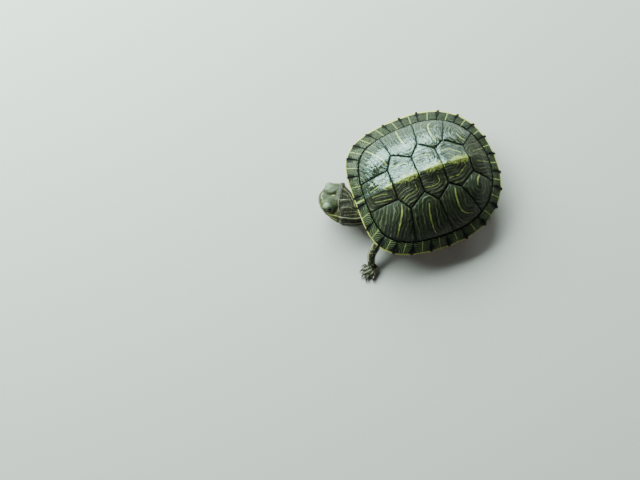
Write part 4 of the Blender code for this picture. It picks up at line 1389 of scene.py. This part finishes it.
def claw_finish():
    finish = Finish("claw_horn", Coat_Weight=0.5, Coat_Roughness=0.1, Specular_IOR_Level=0.5)
    grain = finish.noise(0.4, 2.0)
    finish.feed("Base Color", finish.blend(grain, (0.012, 0.006, 0.005), (0.038, 0.014, 0.009)))
    finish.relief(grain, 0.02)
    finish.feed("Roughness", 0.3 + grain * 0.15)
    return finish


claw_look = claw_finish()
for limb, (balls, toes, claws) in LIMBS.items():
    made = []
    palm = np.array(balls[-1][:2])
    for toe, claw in zip(toes, claws):
        toe, claw = np.array(toe), np.array(claw)
        claw = toe + (claw - toe) * 0.93
        root = toe - (toe - palm) * 0.08
        middle = (toe + claw) / 2
        row = (
            (*root, TOE_Z - 0.02, 0.31, 1.0), (*(toe + (claw - toe) * 0.3), TOE_Z + 0.02, 0.27, 1.0),
            (*middle, TOE_Z - 0.08, 0.20, 1.0), (*(toe + (claw - toe) * 0.96), 0.17, 0.08, 1.0),
        )
        made.append(lay_section_tube(f"{limb}_claws", 12, limb_section(row, 1.1), 12))
        laid = places(made[-1])
        laid[:, 2] = np.maximum(laid[:, 2], 0.01)
        lay(made[-1], laid)
        outward_normals(made[-1])
    pick(*made)
    bpy.ops.object.join()
    settle(made[0], claw_look, "skin")


# ---- The studio ----
# A plain pale floor and faint pale light all round. A large window-like light on the turtle's
# right shines back off the wet shell; a small one stands behind on the right, a faint one ahead.


def floor_finish():
    finish = Finish("studio_floor", Roughness=0.7, Specular_IOR_Level=0.3)
    finish.feed("Base Color", (0.56, 0.54, 0.51))
    return finish


bpy.ops.object.select_all(action="DESELECT")
bpy.ops.mesh.primitive_plane_add(size=2.0, location=(0, 0, -0.00002))
floor = bpy.context.object
floor.name = "studio_floor"
wear(floor, floor_finish())

AIM = Vector((0.0, -0.003, 0.010))


def softbox(name, direction, distance, size, watts, colour):
    bpy.ops.object.select_all(action="DESELECT")
    place = AIM + Vector(direction).normalized() * distance
    bpy.ops.object.light_add(type="AREA", location=place)
    light = bpy.context.object
    light.name = name
    light.data.shape = "RECTANGLE"
    light.data.size, light.data.size_y = size
    light.data.energy = watts
    light.data.color = colour
    light.rotation_euler = (AIM - place).to_track_quat("-Z", "Y").to_euler()


softbox("window_light", (-0.80, -0.19, 0.53), 0.40, (0.58, 0.22), 9.6, (0.79, 1.0, 0.93))
softbox("rear_glint", (-0.60, 0.70, 0.34), 0.40, (0.14, 0.05), 0.35, (0.90, 1.0, 0.96))
softbox("front_fill", (0.20, -0.95, 0.42), 0.60, (0.14, 0.06), 0.20, (1.0, 0.98, 0.95))

world = bpy.data.worlds.new("studio")
bpy.context.scene.world = world
world.use_nodes = True
world.node_tree.nodes["Background"].inputs["Color"].default_value = (0.90, 0.94, 1.0, 1.0)
world.node_tree.nodes["Background"].inputs["Strength"].default_value = 0.09

CAMERA_PLACE = Vector((28.743, -20.84, 141.72)) / 1000
CAMERA_RIGHT = Vector((0.32763, 0.93478, -0.13726))
CAMERA_BACK = Vector((0.16723, 0.08561, 0.98219)).normalized()
camera_up = CAMERA_BACK.cross(CAMERA_RIGHT).normalized()
camera_right = camera_up.cross(CAMERA_BACK)
bpy.ops.object.select_all(action="DESELECT")
bpy.ops.object.camera_add()
camera = bpy.context.object
camera.name = "studio_camera"
turned = Matrix((camera_right, camera_up, CAMERA_BACK)).transposed()
camera.matrix_world = Matrix.Translation(CAMERA_PLACE) @ turned.to_4x4()
camera.data.sensor_width = 36.0
camera.data.lens = 28.0
camera.data.clip_start = 0.001
bpy.context.scene.camera = camera
